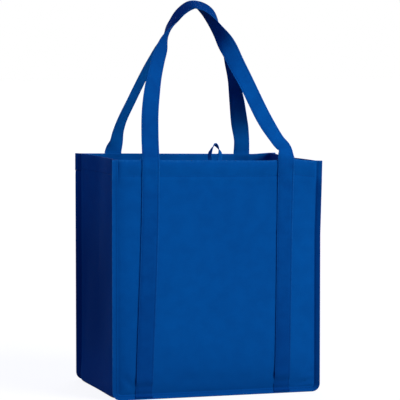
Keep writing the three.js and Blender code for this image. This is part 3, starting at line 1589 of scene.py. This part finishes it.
@dataclass
class Gusset:
    """The strip that makes both sides and the base, its edges turned out against the panels."""

    front: PanelForm
    back: PanelForm
    name: str = "gusset_strip"
    node: str = "gusset"
    step: float = 3.8
    insets: tuple[float, ...] = (0.0, 0.5, 1.6, 3.2, 4.9, 6.2, 6.8, 7.0)
    near_seam: tuple[float, ...] = (0.91, 0.95, 0.985)
    press: float = 0.02
    hem_step: float = 1.2
    crease: float = 3.4
    crease_at: float = 14.0
    crease_width: float = 52.0
    crease_soft: float = 0.16
    crease_rise: Ramp = Ramp(12.0, 150.0)
    crease_ease: float = 0.3
    crease_ease_from: float = 220.0
    wave: Ripple = Ripple(0.9, 21.0, 47.0, 0.6)
    wave_rise: Ramp = Ramp(10.0, 80.0)
    shoulder: float = 2.0
    shoulder_at: float = 91.0
    shoulder_width: float = 10.0
    shoulder_rise: Ramp = Ramp(10.0, 60.0)
    foot: float = 0.1
    foot_radius: float = 2.8
    foot_bulge: float = 5.0
    foot_reach: float = 26.0
    foot_climb: float = 5.0
    seam_reach: float = 6.0
    # painted shade low on the sides, lighter near the foot and towards the front
    low_shade: float = 1.0
    shade_down: Ramp = Ramp(295.0, 165.0)
    shade_foot: Ramp = Ramp(110.0, 20.0)
    foot_unshaded: float = 0.4
    shade_back: Ramp = Ramp(-70.0, 40.0)
    front_unshaded: float = 0.4
    # painted shade along the seam line beside the flange
    seam_shade: float = 0.3
    seam_shade_reach: float = 2.0
    hem_seam_end: float = 0.97
    hem_seam_points: int = 240

    def path(self) -> EdgePath:
        """Rows of the strip from one cut edge, over the rim, under the base and up again.

        Returns:
            The path of its edges.
        """
        bag = self.front.bag
        marks = (bag.raw_edge - self.hem_step, bag.raw_edge, *bag.stitch_marks)
        sides = spaced(bag.corner, bag.rim, self.step, marks)[::-1]
        heights = np.concatenate([bag.hem_rows()[::-1, 0], sides])
        return EdgePath(bag, heights, spaced(-bag.inner, bag.inner, self.step))

    def behind(self, path: EdgePath) -> Array:
        """How far each row lies behind the strip's outer face.

        Args:
            path: Rows of the strip.

        Returns:
            One distance per row, above 0 only on the hems.
        """
        hem = self.front.bag.hem_rows()[::-1, 1]
        rows = len(path.ring(0.0)[0])
        return np.concatenate([hem, np.zeros(rows - 2 * len(hem)), hem[::-1]])

    def thickness(self, high: Array) -> Array:
        """Distance from the panel's outer face to the strip's own outer face on a flange.

        Args:
            high: Heights.

        Returns:
            Two layers pressed together, and the fold of a hem above its cut edge.
        """
        bag = self.front.bag
        layers = 2.0 * bag.cloth - self.press
        return layers + bag.fold * soft_step(bag.raw_edge - self.hem_step, bag.raw_edge, high)

    def slack(self, path: EdgePath) -> tuple[Array, Array]:
        """How far the strip's middle hangs out of the U of its seams, down to the floor.

        Args:
            path: Rows of the strip.

        Returns:
            Distances of each row, sideways and up.
        """
        bag = self.front.bag
        across, high = path.ring(bag.flange)
        wide = np.abs(across)
        middle = bag.half_width - bag.flange + self.foot_bulge - self.foot_radius
        sunk = 1.0 - soft_step(bag.corner, self.foot_climb * bag.corner, high)
        side_x = self.foot_bulge * sunk
        side_z = -(bag.corner - self.foot - self.foot_radius) * sunk
        turn = np.arctan2(bag.corner - high, wide - bag.inner)
        bend_x = middle + self.foot_radius * np.cos(turn) - wide
        bend_z = self.foot + self.foot_radius * (1.0 - np.sin(turn)) - high
        held = soft_step(bag.inner - self.foot_reach, bag.inner, wide)
        base_x = held * (middle - bag.inner)
        base_z = held * (self.foot - high)
        on_base, on_side = wide <= bag.inner, high >= bag.corner
        move_x = np.where(on_base, base_x, np.where(on_side, side_x, bend_x))
        move_z = np.where(on_base, base_z, np.where(on_side, side_z, bend_z))
        return np.sign(across) * move_x, move_z

    def bow(self, y: Array, high: Array, base: Array) -> Array:
        """How far the strip bows into the bag between its seams.

        Args:
            y: Places across the strip.
            high: Heights.
            base: 1 on the base and 0 on the sides.

        Returns:
            Distances inwards.
        """
        bag = self.front.bag
        seam = 1.0 - (y / bag.half_depth) ** 4
        off = np.hypot((y - self.crease_at) / self.crease_width, self.crease_soft)
        ridge = np.exp(-(off - self.crease_soft))
        eased = 1.0 - self.crease_ease * soft_step(self.crease_ease_from, bag.height, high)
        side = self.crease * ridge * (self.crease_rise.at(high) * eased)
        side += self.wave.rise(y, high) * self.wave_rise.at(high)
        shoulder = mound(np.abs(y), self.shoulder_at, self.shoulder_width)
        side -= self.shoulder * shoulder * self.shoulder_rise.at(high)
        return seam * (1.0 - base) * side

    def _web(self, path: EdgePath, y_share: Array, behind: Array) -> Array:
        """Points of the strip between its two seams.

        Args:
            path: Rows of the strip.
            y_share: Places between the seams, from -1 to 1.
            behind: Distance of each row behind the strip's outer face.

        Returns:
            Rows by places by three.
        """
        bag = self.front.bag
        seam_across, seam_high = path.ring(bag.flange)
        in_across, in_high = path.inward()
        reach = (bag.half_depth - self.thickness(seam_high))[:, None]
        y = reach * y_share[None, :]
        bow = self.bow(y, np.minimum(seam_high, bag.rim)[:, None], in_high[:, None])
        bow += behind[:, None]
        wide, down = self.slack(path)
        free = fill(reach - np.abs(y), self.seam_reach)
        x = seam_across[:, None] + in_across[:, None] * bow + free * wide[:, None]
        z = seam_high[:, None] + in_high[:, None] * bow + free * down[:, None]
        return bag.settle(np.stack([x, y, z], axis=-1))

    def _flange(self, path: EdgePath, form: PanelForm, behind: Array) -> Array:
        """Points of the edge that lies against a panel, from its cut edge to the seam.

        Args:
            path: Rows of the strip.
            form: Shape of the panel.
            behind: Distance of each row behind the strip's outer face.

        Returns:
            Rows by columns by three.
        """
        out = -form.face.value
        columns = []
        for inset in self.insets:
            across, high = path.ring(inset)
            columns.append(form.backing(out * across, high, self.thickness(high) - behind))
        return np.stack(columns, axis=1)

    def _paint_shade(self, points: Array) -> Array:
        """Painted shade on the strip, strongest low on the sides and towards the back.

        Args:
            points: Rows by columns by three.

        Returns:
            Rows by columns.
        """
        y, z = points[..., 1], points[..., 2]
        low = self.low_shade * self.shade_down.at(z)
        low *= 1.0 - self.foot_unshaded * self.shade_foot.at(z)
        return low * (1.0 - self.front_unshaded * (1.0 - self.shade_back.at(y)))

    def build(self, material: Material) -> Piece:
        """Makes the strip.

        Args:
            material: Cloth material.

        Returns:
            The strip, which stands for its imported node.
        """
        bag = self.front.bag
        path = self.path()
        behind = self.behind(path)
        far_seam = (-mark for mark in self.near_seam)
        marks = (*far_seam, self.crease_at / bag.half_depth, *self.near_seam)
        share = spaced(-1.0, 1.0, self.step / bag.half_depth, marks)
        web = self._web(path, share, behind)
        front = self._flange(path, self.front, behind)
        back = self._flange(path, self.back, behind)[:, ::-1]
        points = np.concatenate([front[:, :-1], web, back[:, 1:]], axis=1)
        middle = along(web[:, web.shape[1] // 2])
        turned = bag.half_depth + bag.flange - np.array(self.insets[:-1])
        width = np.concatenate([-turned, share * bag.half_depth, turned[::-1]])
        flat = np.stack(np.broadcast_arrays(width[None, :], middle[:, None]), axis=-1)
        edge = bag.half_depth + bag.flange - np.abs(width)
        rim = mound(points[..., 2], bag.height, bag.fold_wear) * (behind < bag.fold)[:, None]
        wear = np.maximum(mound(edge, 0.0, bag.fray)[None, :], rim)
        # painted shade along the seam line
        seam = self.seam_shade * mound(edge, bag.flange, self.seam_shade_reach)
        draft = MeshDraft()
        draft.add_grid(points, flat, wear, np.maximum(seam[None, :], self._paint_shade(points)))
        piece = draft.build(self.name, bag.cloth)
        finish_piece(piece, material)
        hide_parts(self.node)
        return piece

    def flat_size(self) -> tuple[float, float]:
        """Size of the cut cloth.

        Returns:
            Its width and length in metres.
        """
        path = self.path()
        web = self._web(path, np.array([-1.0, 0.0, 1.0]), self.behind(path))
        width = 2.0 * (self.front.bag.half_depth + self.front.bag.side_flange)
        return width * METRES, along(web[:, 1])[-1] * METRES

    def sew(self, thread: Stitching) -> None:
        """Adds the hem seams of both sides and the seams on the flanges.

        Args:
            thread: Stitching that the rows go to.
        """
        bag = self.front.bag
        path = self.path()
        rows = len(path.ring(0.0)[0])
        share = np.linspace(-self.hem_seam_end, self.hem_seam_end, self.hem_seam_points)
        web = self._web(path, share, np.zeros(rows))
        hem = len(bag.hem_rows())
        row = hem + int(np.argmin(np.abs(path.heights[hem:] - bag.stitch_line)))
        for number, side in ((row, -1.0), (rows - 1 - row, 1.0)):
            outward = np.tile([side, 0.0, 0.0], (len(share), 1))
            thread.add(web[number], outward)
            thread.add(web[number] - outward * (bag.fold + bag.thread_gap), -outward)
        across, high = EdgePath(bag, path.heights[hem:], path.columns).ring(bag.flange_stitch)
        for form in (self.front, self.back):
            out = -form.face.value
            seam = form.backing(out * across, high, self.thickness(high))
            thread.add(seam, -form.normal(out * across, high))


@dataclass
class Handle:
    """One strap sewn up a panel, free above the rim and sewn down the panel again."""

    form: PanelForm
    name: str
    node: str
    route: Sequence[tuple[float, float, float, float]]
    thickness: float = 0.95
    seat: float = 0.05
    cling: float = 0.8
    seam_sink: float = 0.7
    seam_width: float = 1.5
    foot: float = 1.6
    foot_rows: tuple[float, ...] = (5.0, 7.0, 9.0, 14.0, 18.0, 22.0)
    foot_folds: tuple[tuple[float, float, float], ...] = ((0.95, 17.0, 4.5), (-1.1, 27.0, 6.0))
    foot_hold: Ramp = Ramp(4.0, 12.0)
    foot_clear: int = 2
    leave: float = 2.2
    step: float = 3.6
    stitch_inset: float = 2.4
    groove_lip: float = 0.055
    grooves: tuple[int, int] = (4, 10)
    edge_curl: float = 0.12
    curl_power: int = 6
    edge_wear: float = 0.9
    # painted shade on the sewn legs: at the rim and at the foot, darker towards the foot
    painted_darkening: tuple[float, float] = (0.02, 0.72)
    darkening_power: float = 1.3
    # painted shade near the top of the free loop, placed as a share of its length
    apex_shade: float = 0.5
    apex_shade_at: float = 0.38
    apex_shade_reach: float = 0.1
    # painted shade on the first part of the free loop, fading out before its top
    dull: float = 0.0
    leg_shade_fade: Ramp = Ramp(0.3, 0.44)

    @property
    def width(self) -> float:
        """Width of the strap."""
        return self.form.strap_width

    def section(self) -> Array:
        """Half the strap's outline with a groove at each row of stitches.

        Returns:
            Across and rise, as shares of half the width and half the thickness.
        """
        groove, lip = 1.0 - 2.0 * self.stitch_inset / self.width, self.groove_lip
        edge = [(1.0, 0.0), (0.993, 0.5), (0.965, 0.86)]
        sewn = [(groove + lip, 0.95), (groove, 0.66), (groove - lip, 0.95)]
        return half_section([*edge, *sewn, (0.5, 1.0)], [(0.0, 1.02)])

    def outline(self) -> Array:
        """The closed section in millimetres: across, and rise towards +Y."""
        return closed_section(self.section(), self.width, self.thickness)

    def curl(self) -> Array:
        """How far each point of the section stands off the panel because the sewn edges curl."""
        share = np.abs(self.outline()[:, 0]) / (0.5 * self.width)
        return self.edge_curl * share**self.curl_power

    def _foot_bend(self, high: Array) -> Array:
        """How far the strap sinks at the soft folds above its foot and at the bottom seam.

        Args:
            high: Heights.

        Returns:
            The depth at each height.
        """
        folds = sum(depth * mound(high, at, width) for depth, at, width in self.foot_folds)
        seam = self.seam_sink * mound(high, self.form.bag.flange, self.seam_width)
        return folds * self.foot_hold.at(high) + seam

    def _leg_rings(self, leg: Leg, sideways: float, heights: Array) -> Array:
        """Rings of the strap where it lies on the panel.

        Args:
            leg: The leg.
            sideways: Sign of the strap's width direction along X.
            heights: Height of each ring, from the foot up.

        Returns:
            Rings by points by three.
        """
        form = self.form
        out = form.face.value
        shape = self.outline()
        x = leg.middle(form.bag.height, heights)[:, None] + sideways * shape[None, :, 0]
        high = np.broadcast_to(heights[:, None], x.shape)
        lift = self.seat + 0.5 * self.thickness + out * shape[None, :, 1] + self.curl()[None, :]
        loose = form.calm(-out * x, high)
        close = form.outward(-out * x, np.minimum(high, form.bag.rim))
        offset = loose + self.cling * (close - loose) - self._foot_bend(high) + lift
        return form.place(-out * x, high, offset)

    def _free_line(self, starts: Array, ends: Array) -> Array:
        """Middle line and twist of the free loop.

        Args:
            starts: Middles of the last two rings before the loop.
            ends: Middles of the first two rings after it.

        Returns:
            One row per ring: place and twist in degrees.
        """
        lead = [[*point, 0.0] for point in starts]
        tail = [[*point, 0.0] for point in ends]
        stations = np.array([*lead, *self.route, *tail])
        length = along(stations[:, :3])[-1]
        return smooth_curve(stations, int(length / self.step))

    def rings(self) -> tuple[Array, int]:
        """All rings of the strap from foot to foot.

        Returns:
            Rings by points by three, and the number of rings of a leg.
        """
        top = self.form.bag.height + self.leave
        heights = spaced(self.foot, top, self.step, self.foot_rows)
        left, right = self.form.legs
        start = self._leg_rings(left, 1.0, heights)
        end = self._leg_rings(right, -1.0, heights)
        line = self._free_line(start[-2:].mean(axis=1), end[-2:][::-1].mean(axis=1))
        loop = ribbon(line, self.outline())
        return np.concatenate([start, loop[1:-1], end[::-1]]), len(heights)

    def _paint_shade(self, high: Array, length: Array, legs: int) -> Array:
        """Painted shade low on the sewn legs, near the top of the free loop and on its first part.

        Args:
            high: Heights, rings by points.
            length: Length along the strap at each ring.
            legs: Number of rings of a leg.

        Returns:
            Rings by points.
        """
        sewn = np.zeros(len(length))
        sewn[:legs] = 1.0
        sewn[-legs:] = 1.0
        low = np.clip(1.0 - high / self.form.bag.height, 0.0, 1.0)
        above, below = self.painted_darkening
        share = (length - length[legs]) / (length[-legs] - length[legs])
        # painted shade on the free loop
        loop_shaded = self.apex_shade * mound(share, self.apex_shade_at, self.apex_shade_reach)
        loop_shaded += self.dull * (1.0 - self.leg_shade_fade.at(share)) * (1.0 - sewn)
        painted_darkening = above + (below - above) * low**self.darkening_power
        return sewn[:, None] * painted_darkening + loop_shaded[:, None]

    def build(self, material: Material) -> Piece:
        """Makes the strap.

        Args:
            material: Cloth material.

        Returns:
            The strap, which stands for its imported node.
        """
        rings, legs = self.rings()
        across = self.outline()[:, 0]
        length = along(rings.mean(axis=1))
        flat = np.stack(np.broadcast_arrays(across[None, :], length[:, None]), axis=-1)
        wear = mound(np.abs(across), 0.5 * self.width, self.edge_wear)[None, :]
        draft = MeshDraft()
        draft.add_strap(rings, flat, wear, self._paint_shade(rings[..., 2], length, legs))
        piece = draft.build(self.name, crisp=STRAP_CRISP)
        finish_piece(piece, material)
        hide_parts(self.node)
        return piece

    def flat_size(self) -> tuple[float, float]:
        """Width and length of the strap laid flat, in metres."""
        return self.width * METRES, along(self.rings()[0].mean(axis=1))[-1] * METRES

    def sew(self, thread: Stitching) -> None:
        """Adds the stitches along both edges, on both faces where the strap is free.

        Args:
            thread: Stitching that the rows go to.
        """
        rings, legs = self.rings()
        count = len(self.section())
        on_back = self.form.face is Face.BACK
        clear = slice(self.foot_clear, -self.foot_clear)
        for groove in self.grooves:
            near, far = rings[:, groove], rings[:, 2 * count - groove]
            outer, inner = (near, far) if on_back else (far, near)
            normal = unit(outer - inner)
            thread.add(outer[clear], normal[clear])
            thread.add(inner[legs:-legs], -normal[legs:-legs])
        outward = np.tile([0.0, self.form.face.value, 0.0], (count - 1, 1))
        face = slice(1, count) if on_back else slice(count + 1, 2 * count)
        for leg in (rings[:legs], rings[: -legs - 1 : -1]):
            row = int(np.argmin(np.abs(leg[:, :, 2].mean(axis=1) - self.form.bag.flange)))
            thread.add(leg[row, face], outward)


@dataclass
class HangLoop:
    """A narrow tape sewn inside the front hem and standing up in a twisted loop.

    Feet and route hold places in half spacings sideways and in anchors or rises up, and the route
    holds the twist in degrees too.
    """

    form: PanelForm
    name: str = "hang_loop_tape"
    node: str = "hang_loop"
    width: float = 6.2
    thickness: float = 1.2
    spacing: float = 14.6
    middle: float = -6.2
    rise: float = 22.6
    anchor: float = 17.0
    gap: float = 0.15
    samples: int = 64
    edge_wear: float = 0.5
    feet: tuple[tuple[float, float], ...] = ((-0.8, -0.9), (-0.8, -0.7), (-0.82, -0.3))
    route: tuple[tuple[float, float, float], ...] = (
        (-0.86, 0.0, -24.0),
        (-1.0, 0.22, -42.0),
        (-0.98, 0.42, -52.0),
        (-0.74, 0.62, -78.0),
        (-0.36, 0.84, -104.0),
        (0.04, 0.98, -128.0),
        (0.48, 0.84, -110.0),
        (0.84, 0.62, -64.0),
        (1.02, 0.42, -14.0),
        (1.04, 0.22, 0.0),
        (0.9, 0.0, 0.0),
    )

    def line(self) -> Array:
        """Middle line and twist of the tape from one sewn end to the other.

        Returns:
            One row per ring: place and twist in degrees.
        """
        form, bag = self.form, self.form.bag
        lead = [(side, share * self.anchor / self.rise, 0.0) for side, share in self.feet]
        tail = [(-side, share, 0.0) for side, share, _ in reversed(lead)]
        rows = np.array([*lead, *self.route, *tail])
        across = self.middle + 0.5 * self.spacing * rows[:, 0]
        high = bag.height + self.rise * rows[:, 1]
        behind = bag.fold + self.gap + 0.5 * self.thickness
        low = np.minimum(high, bag.rim)
        places = form.place(across, high, form.outward(across, low) - behind)
        return smooth_curve(np.concatenate([places, rows[:, 2:]], axis=1), self.samples)

    def outline(self) -> Array:
        """The tape's closed section with soft edges, in millimetres."""
        half = half_section([(1.0, 0.0), (0.97, 0.7), (0.86, 1.0), (0.3, 0.9)])
        return closed_section(half, self.width, self.thickness)

    def build(self, material: Material) -> Piece:
        """Makes the loop.

        Args:
            material: Cloth material.

        Returns:
            The loop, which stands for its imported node.
        """
        line = self.line()
        shape = self.outline()
        across, length = shape[None, :, 0], along(line[:, :3])[:, None]
        flat = np.stack(np.broadcast_arrays(across, length), axis=-1)
        wear = mound(np.abs(across), 0.5 * self.width, self.edge_wear)
        draft = MeshDraft()
        draft.add_strap(ribbon(line, shape), flat, wear, np.zeros(1))
        piece = draft.build(self.name, crisp=STRAP_CRISP)
        finish_piece(piece, material)
        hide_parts(self.node)
        return piece


@dataclass
class BaseBoard:
    """The loose board on the base, kept as packed."""

    node: str = "base_board"

    def dress(self, material: Material) -> None:
        """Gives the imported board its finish.

        Args:
            material: Board material.
        """
        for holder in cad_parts[self.node].material_slots:
            holder.material = material
        LOG.info("%s: kept as packed", self.node)


# Studio


def towards(azimuth: float, elevation: float) -> Vector:
    """Direction from the bag to a place round it.

    Args:
        azimuth: Degrees from the front panel's outward direction towards +X.
        elevation: Degrees above the floor.

    Returns:
        The direction, one long.
    """
    turn, climb = math.radians(azimuth), math.radians(elevation)
    level = math.cos(climb)
    return Vector((math.sin(turn) * level, -math.cos(turn) * level, math.sin(climb)))


@dataclass(frozen=True)
class Lamp:
    """A soft far lamp."""

    name: str
    azimuth: float
    elevation: float
    strength: float
    spread: float
    colour: Colour = (1.0, 1.0, 1.0)

    def build(self) -> None:
        """Hangs the lamp."""
        data = bpy.data.lights.new(self.name, "SUN")
        data.energy = self.strength
        data.angle = math.radians(self.spread)
        data.color = self.colour
        lamp = bpy.data.objects.new(self.name, data)
        source = towards(self.azimuth, self.elevation)
        lamp.rotation_euler = source.to_track_quat("Z", "Y").to_euler()
        bpy.context.scene.collection.objects.link(lamp)


@dataclass
class Studio:
    """Camera, lamps, surrounding light and floor, in millimetres apart from the clip end."""

    azimuth: float = -17.08
    elevation: float = 3.95
    distance: float = 3120.8
    aside: float = 3.37
    target_height: float = 267.82
    sensor: float = 36.0
    focal_pixels: float = 2169.1
    picture_pixels: float = 400.0
    clip_end: float = 200.0
    ambient: Colour = (0.12, 0.16, 0.425)
    floor_size: float = 60000.0
    floor_drop: float = 0.6
    lamps: tuple[Lamp, ...] = (
        Lamp("key_lamp", 43.0, 14.0, 3.26, 36.0, (1.0, 1.0, 0.96)),
        Lamp("back_lamp", 162.0, 14.0, 1.5, 50.0),
    )

    def build(self) -> None:
        """Sets up the whole studio."""
        self._camera()
        self._world()
        self._floor()
        for lamp in self.lamps:
            lamp.build()
        bpy.context.scene.view_settings.view_transform = "Standard"
        LOG.info("studio: %d lamps", len(self.lamps))

    def _camera(self) -> None:
        """Stands the camera where the picture was taken from."""
        turn = math.radians(self.azimuth)
        back = towards(self.azimuth, self.elevation)
        right = Vector((math.cos(turn), math.sin(turn), 0.0))
        target = right * self.aside + Vector((0.0, 0.0, self.target_height))
        data = bpy.data.cameras.new("camera")
        data.sensor_fit = "HORIZONTAL"
        data.sensor_width = self.sensor
        data.lens = self.sensor * (self.focal_pixels / self.picture_pixels)
        data.clip_end = self.clip_end
        camera = bpy.data.objects.new("camera", data)
        camera.location = (target + back * self.distance) * METRES
        camera.rotation_euler = back.to_track_quat("Z", "Y").to_euler()
        bpy.context.scene.collection.objects.link(camera)
        bpy.context.scene.camera = camera

    def _world(self) -> None:
        """Lights the bag softly from all round and shows white behind it."""
        world = bpy.data.worlds.new("studio_world")
        world.use_nodes = True
        bpy.context.scene.world = world
        sheet = NodeSheet(world.node_tree)
        soft, white = (sheet.add("ShaderNodeBackground") for _ in range(2))
        soft.inputs["Color"].default_value = (*self.ambient, 1.0)
        white.inputs["Color"].default_value = WHITE
        light, shown = soft.outputs["Background"], white.outputs["Background"]
        output = sheet.add("ShaderNodeOutputWorld")
        sheet.feed(output.inputs["Surface"], sheet.choice(white_rays(sheet), light, shown))

    def _floor(self) -> None:
        """Lays the floor."""
        half = 0.5 * self.floor_size * METRES
        mesh = bpy.data.meshes.new("floor")
        low = -self.floor_drop * METRES
        corners = [(-half, -half, low), (half, -half, low), (half, half, low), (-half, half, low)]
        mesh.from_pydata(corners, [], [(0, 1, 2, 3)])
        mesh.materials.append(FloorFinish("floor_paper").material())
        floor = bpy.data.objects.new("floor", mesh)
        bpy.context.scene.collection.objects.link(floor)


# The bag put together


def front_form(bag: BagForm) -> PanelForm:
    """Shape of the front panel.

    Args:
        bag: Sizes of the bag.

    Returns:
        The shape.
    """
    return PanelForm(
        bag,
        Face.FRONT,
        FlangeLean(start=-8.0, end=30.0, bottom=30.0, hem_start=0.0, hem_end=14.0),
        ripples=(
            Ripple(0.55, 38.0, 90.0, 0.3),
            Ripple(0.4, -27.0, 61.0, 1.9),
            Ripple(0.22, 17.0, -44.0, 4.1),
        ),
        creases=(
            Crease((-141.0, 34.0), (-118.0, 8.0), 0.8, 3.5),
            Crease((141.0, 30.0), (112.0, 10.0), 0.9, 3.5),
            Crease((147.0, 18.5), (120.0, 10.5), 2.6, 3.0),
            Crease((-70.0, 26.0), (60.0, 20.0), 0.5, 7.0),
        ),
        legs=(Leg(-99.6, -110.3), Leg(98.6, 94.4)),
    )


def back_form(bag: BagForm) -> PanelForm:
    """Shape of the back panel.

    Args:
        bag: Sizes of the bag.

    Returns:
        The shape.
    """
    return PanelForm(
        bag,
        Face.BACK,
        FlangeLean(start=30.0, end=38.0, bottom=30.0, hem_start=16.0, hem_end=50.0),
        ripples=(
            Ripple(0.6, -35.0, 84.0, 2.2),
            Ripple(0.4, 25.0, 66.0, 0.4),
            Ripple(0.25, 19.0, -41.0, 5.0),
        ),
        creases=(
            Crease((140.0, 38.0), (114.0, 9.0), 0.8, 3.5),
            Crease((-141.0, 28.0), (-116.0, 9.0), 0.8, 3.5),
            Crease((-40.0, 24.0), (84.0, 27.0), 0.5, 7.0),
        ),
        legs=(Leg(-96.6, -99.0), Leg(101.2, 99.0)),
    )


# Places along the free straps: X, Y, Z in millimetres, and the twist in degrees from lying flat
# against the panel. Both straps lie together at the top, the back one over the front one.
FRONT_ROUTE = (
    (-96.5, -90, 366, 0),
    (-92.5, -77, 397, 2),
    (-86, -64, 425, 8),
    (-79, -53, 447, 18),
    (-68.5, -38, 472, 24),
    (-58, -27, 491.5, 36),
    (-47.8, -16, 506.2, 64),
    (-37.4, -5, 518.6, 86),
    (-25.4, -3, 534.8, 100),
    (-9.5, -2, 545.1, 108),
    (4.5, -5, 537.8, 90),
    (15.2, -10, 526, 76),
    (26.4, -19, 507.5, 57),
    (36.6, -31, 486, 14),
    (44.2, -42, 464.5, 0),
    (56, -56, 435, -12),
    (75, -79, 384.5, -15),
    (90, -91, 356.5, -27),
    (98.6, -99, 343.5, -25),
)
BACK_ROUTE = (
    (-94.6, 101, 348, 22),
    (-93.5, 92.5, 364, 34),
    (-90, 83, 381, 41),
    (-79.5, 68, 410.5, 44),
    (-68.5, 54, 440, 45),
    (-57, 36, 471.5, 48),
    (-50, 18, 495.5, 60),
    (-45.4, 6, 510.2, 88),
    (-37.9, 0, 523.5, 98),
    (-25.8, -2, 538.3, 108),
    (-9.5, -3, 548.3, 114),
    (6, -3, 544.8, 126),
    (19.7, 0, 535.2, 134),
    (30.2, 6, 522.3, 126),
    (39.5, 15, 506.7, 109),
    (51.5, 28, 486, 89),
    (63, 42, 460, 73),
    (72, 53, 436.5, 66),
    (80.5, 66, 409.5, 48),
    (89, 81, 379.5, 28),
    (98.5, 98, 351, -4),
)


@dataclass
class ToteBag:
    """The whole bag."""

    bag: BagForm

    def build(self) -> None:
        """Builds every piece in order."""
        front, back = front_form(self.bag), back_form(self.bag)
        panel_cloth = ClothFinish("panel_cloth").material()
        gusset_cloth = ClothFinish("gusset_cloth").material()
        strap_cloth = ClothFinish("strap_cloth", deep=(0.0, 50.0, 114.0), pitch=1.15).material()
        tape_cloth = ClothFinish("tape_cloth", pitch=0.8).material()
        thread = ThreadFinish("sewing_thread").material()
        loop = HangLoop(front).build(tape_cloth)
        strip = Gusset(front, back)
        panel = Panel(front, "front_cloth", "front_panel")
        self._panel(panel, panel_cloth, thread)
        panel = Panel(back, "back_cloth", "back_panel")
        self._panel(panel, panel_cloth, thread)
        self._gusset(strip, gusset_cloth, thread)
        # the keyword values on these two handles set the painted shade on their free loops
        handle = Handle(front, "front_strap", "front_handle", FRONT_ROUTE, dull=0.24)
        self._handle(handle, strap_cloth, thread)
        handle = Handle(back, "back_strap", "back_handle", BACK_ROUTE, apex_shade=0.9, apex_shade_at=0.52)
        self._handle(handle, strap_cloth, thread)
        BaseBoard().dress(BoardFinish("pressed_board").material())

    def _panel(
        self, panel: Panel, cloth: Material, thread: Material
    ) -> None:
        """Builds a panel with its stitches.

        Args:
            panel: The panel.
            cloth: Its material.
            thread: Material of its stitches.
        """
        piece = panel.build(cloth)
        stitches = Stitching()
        panel.sew(stitches)
        sewn = stitches.build(f"{panel.name}_stitches", thread, Slot.PANEL)
        panel.flat_size()

    def _gusset(self, strip: Gusset, cloth: Material, thread: Material) -> None:
        """Builds the gusset strip with its stitches.

        Args:
            strip: The strip.
            cloth: Its material.
            thread: Material of its stitches.
        """
        piece = strip.build(cloth)
        stitches = Stitching()
        strip.sew(stitches)
        sewn = stitches.build(f"{strip.name}_stitches", thread, Slot.GUSSET)
        strip.flat_size()

    def _handle(self, handle: Handle, cloth: Material, thread: Material) -> None:
        """Builds a handle with its stitches.

        Args:
            handle: The handle.
            cloth: Its material.
            thread: Material of its stitches.
        """
        piece = handle.build(cloth)
        stitches = Stitching(pitch=3.2, length=2.5)
        handle.sew(stitches)
        sewn = stitches.build(f"{handle.name}_stitches", thread, Slot.STRAP)
        handle.flat_size()


def main() -> None:
    """Builds the studio and the bag."""
    logging.basicConfig(level=logging.INFO, format="%(name)s %(message)s")
    Studio().build()
    ToteBag(BagForm.from_frame()).build()


if __name__ == "__main__":
    main()
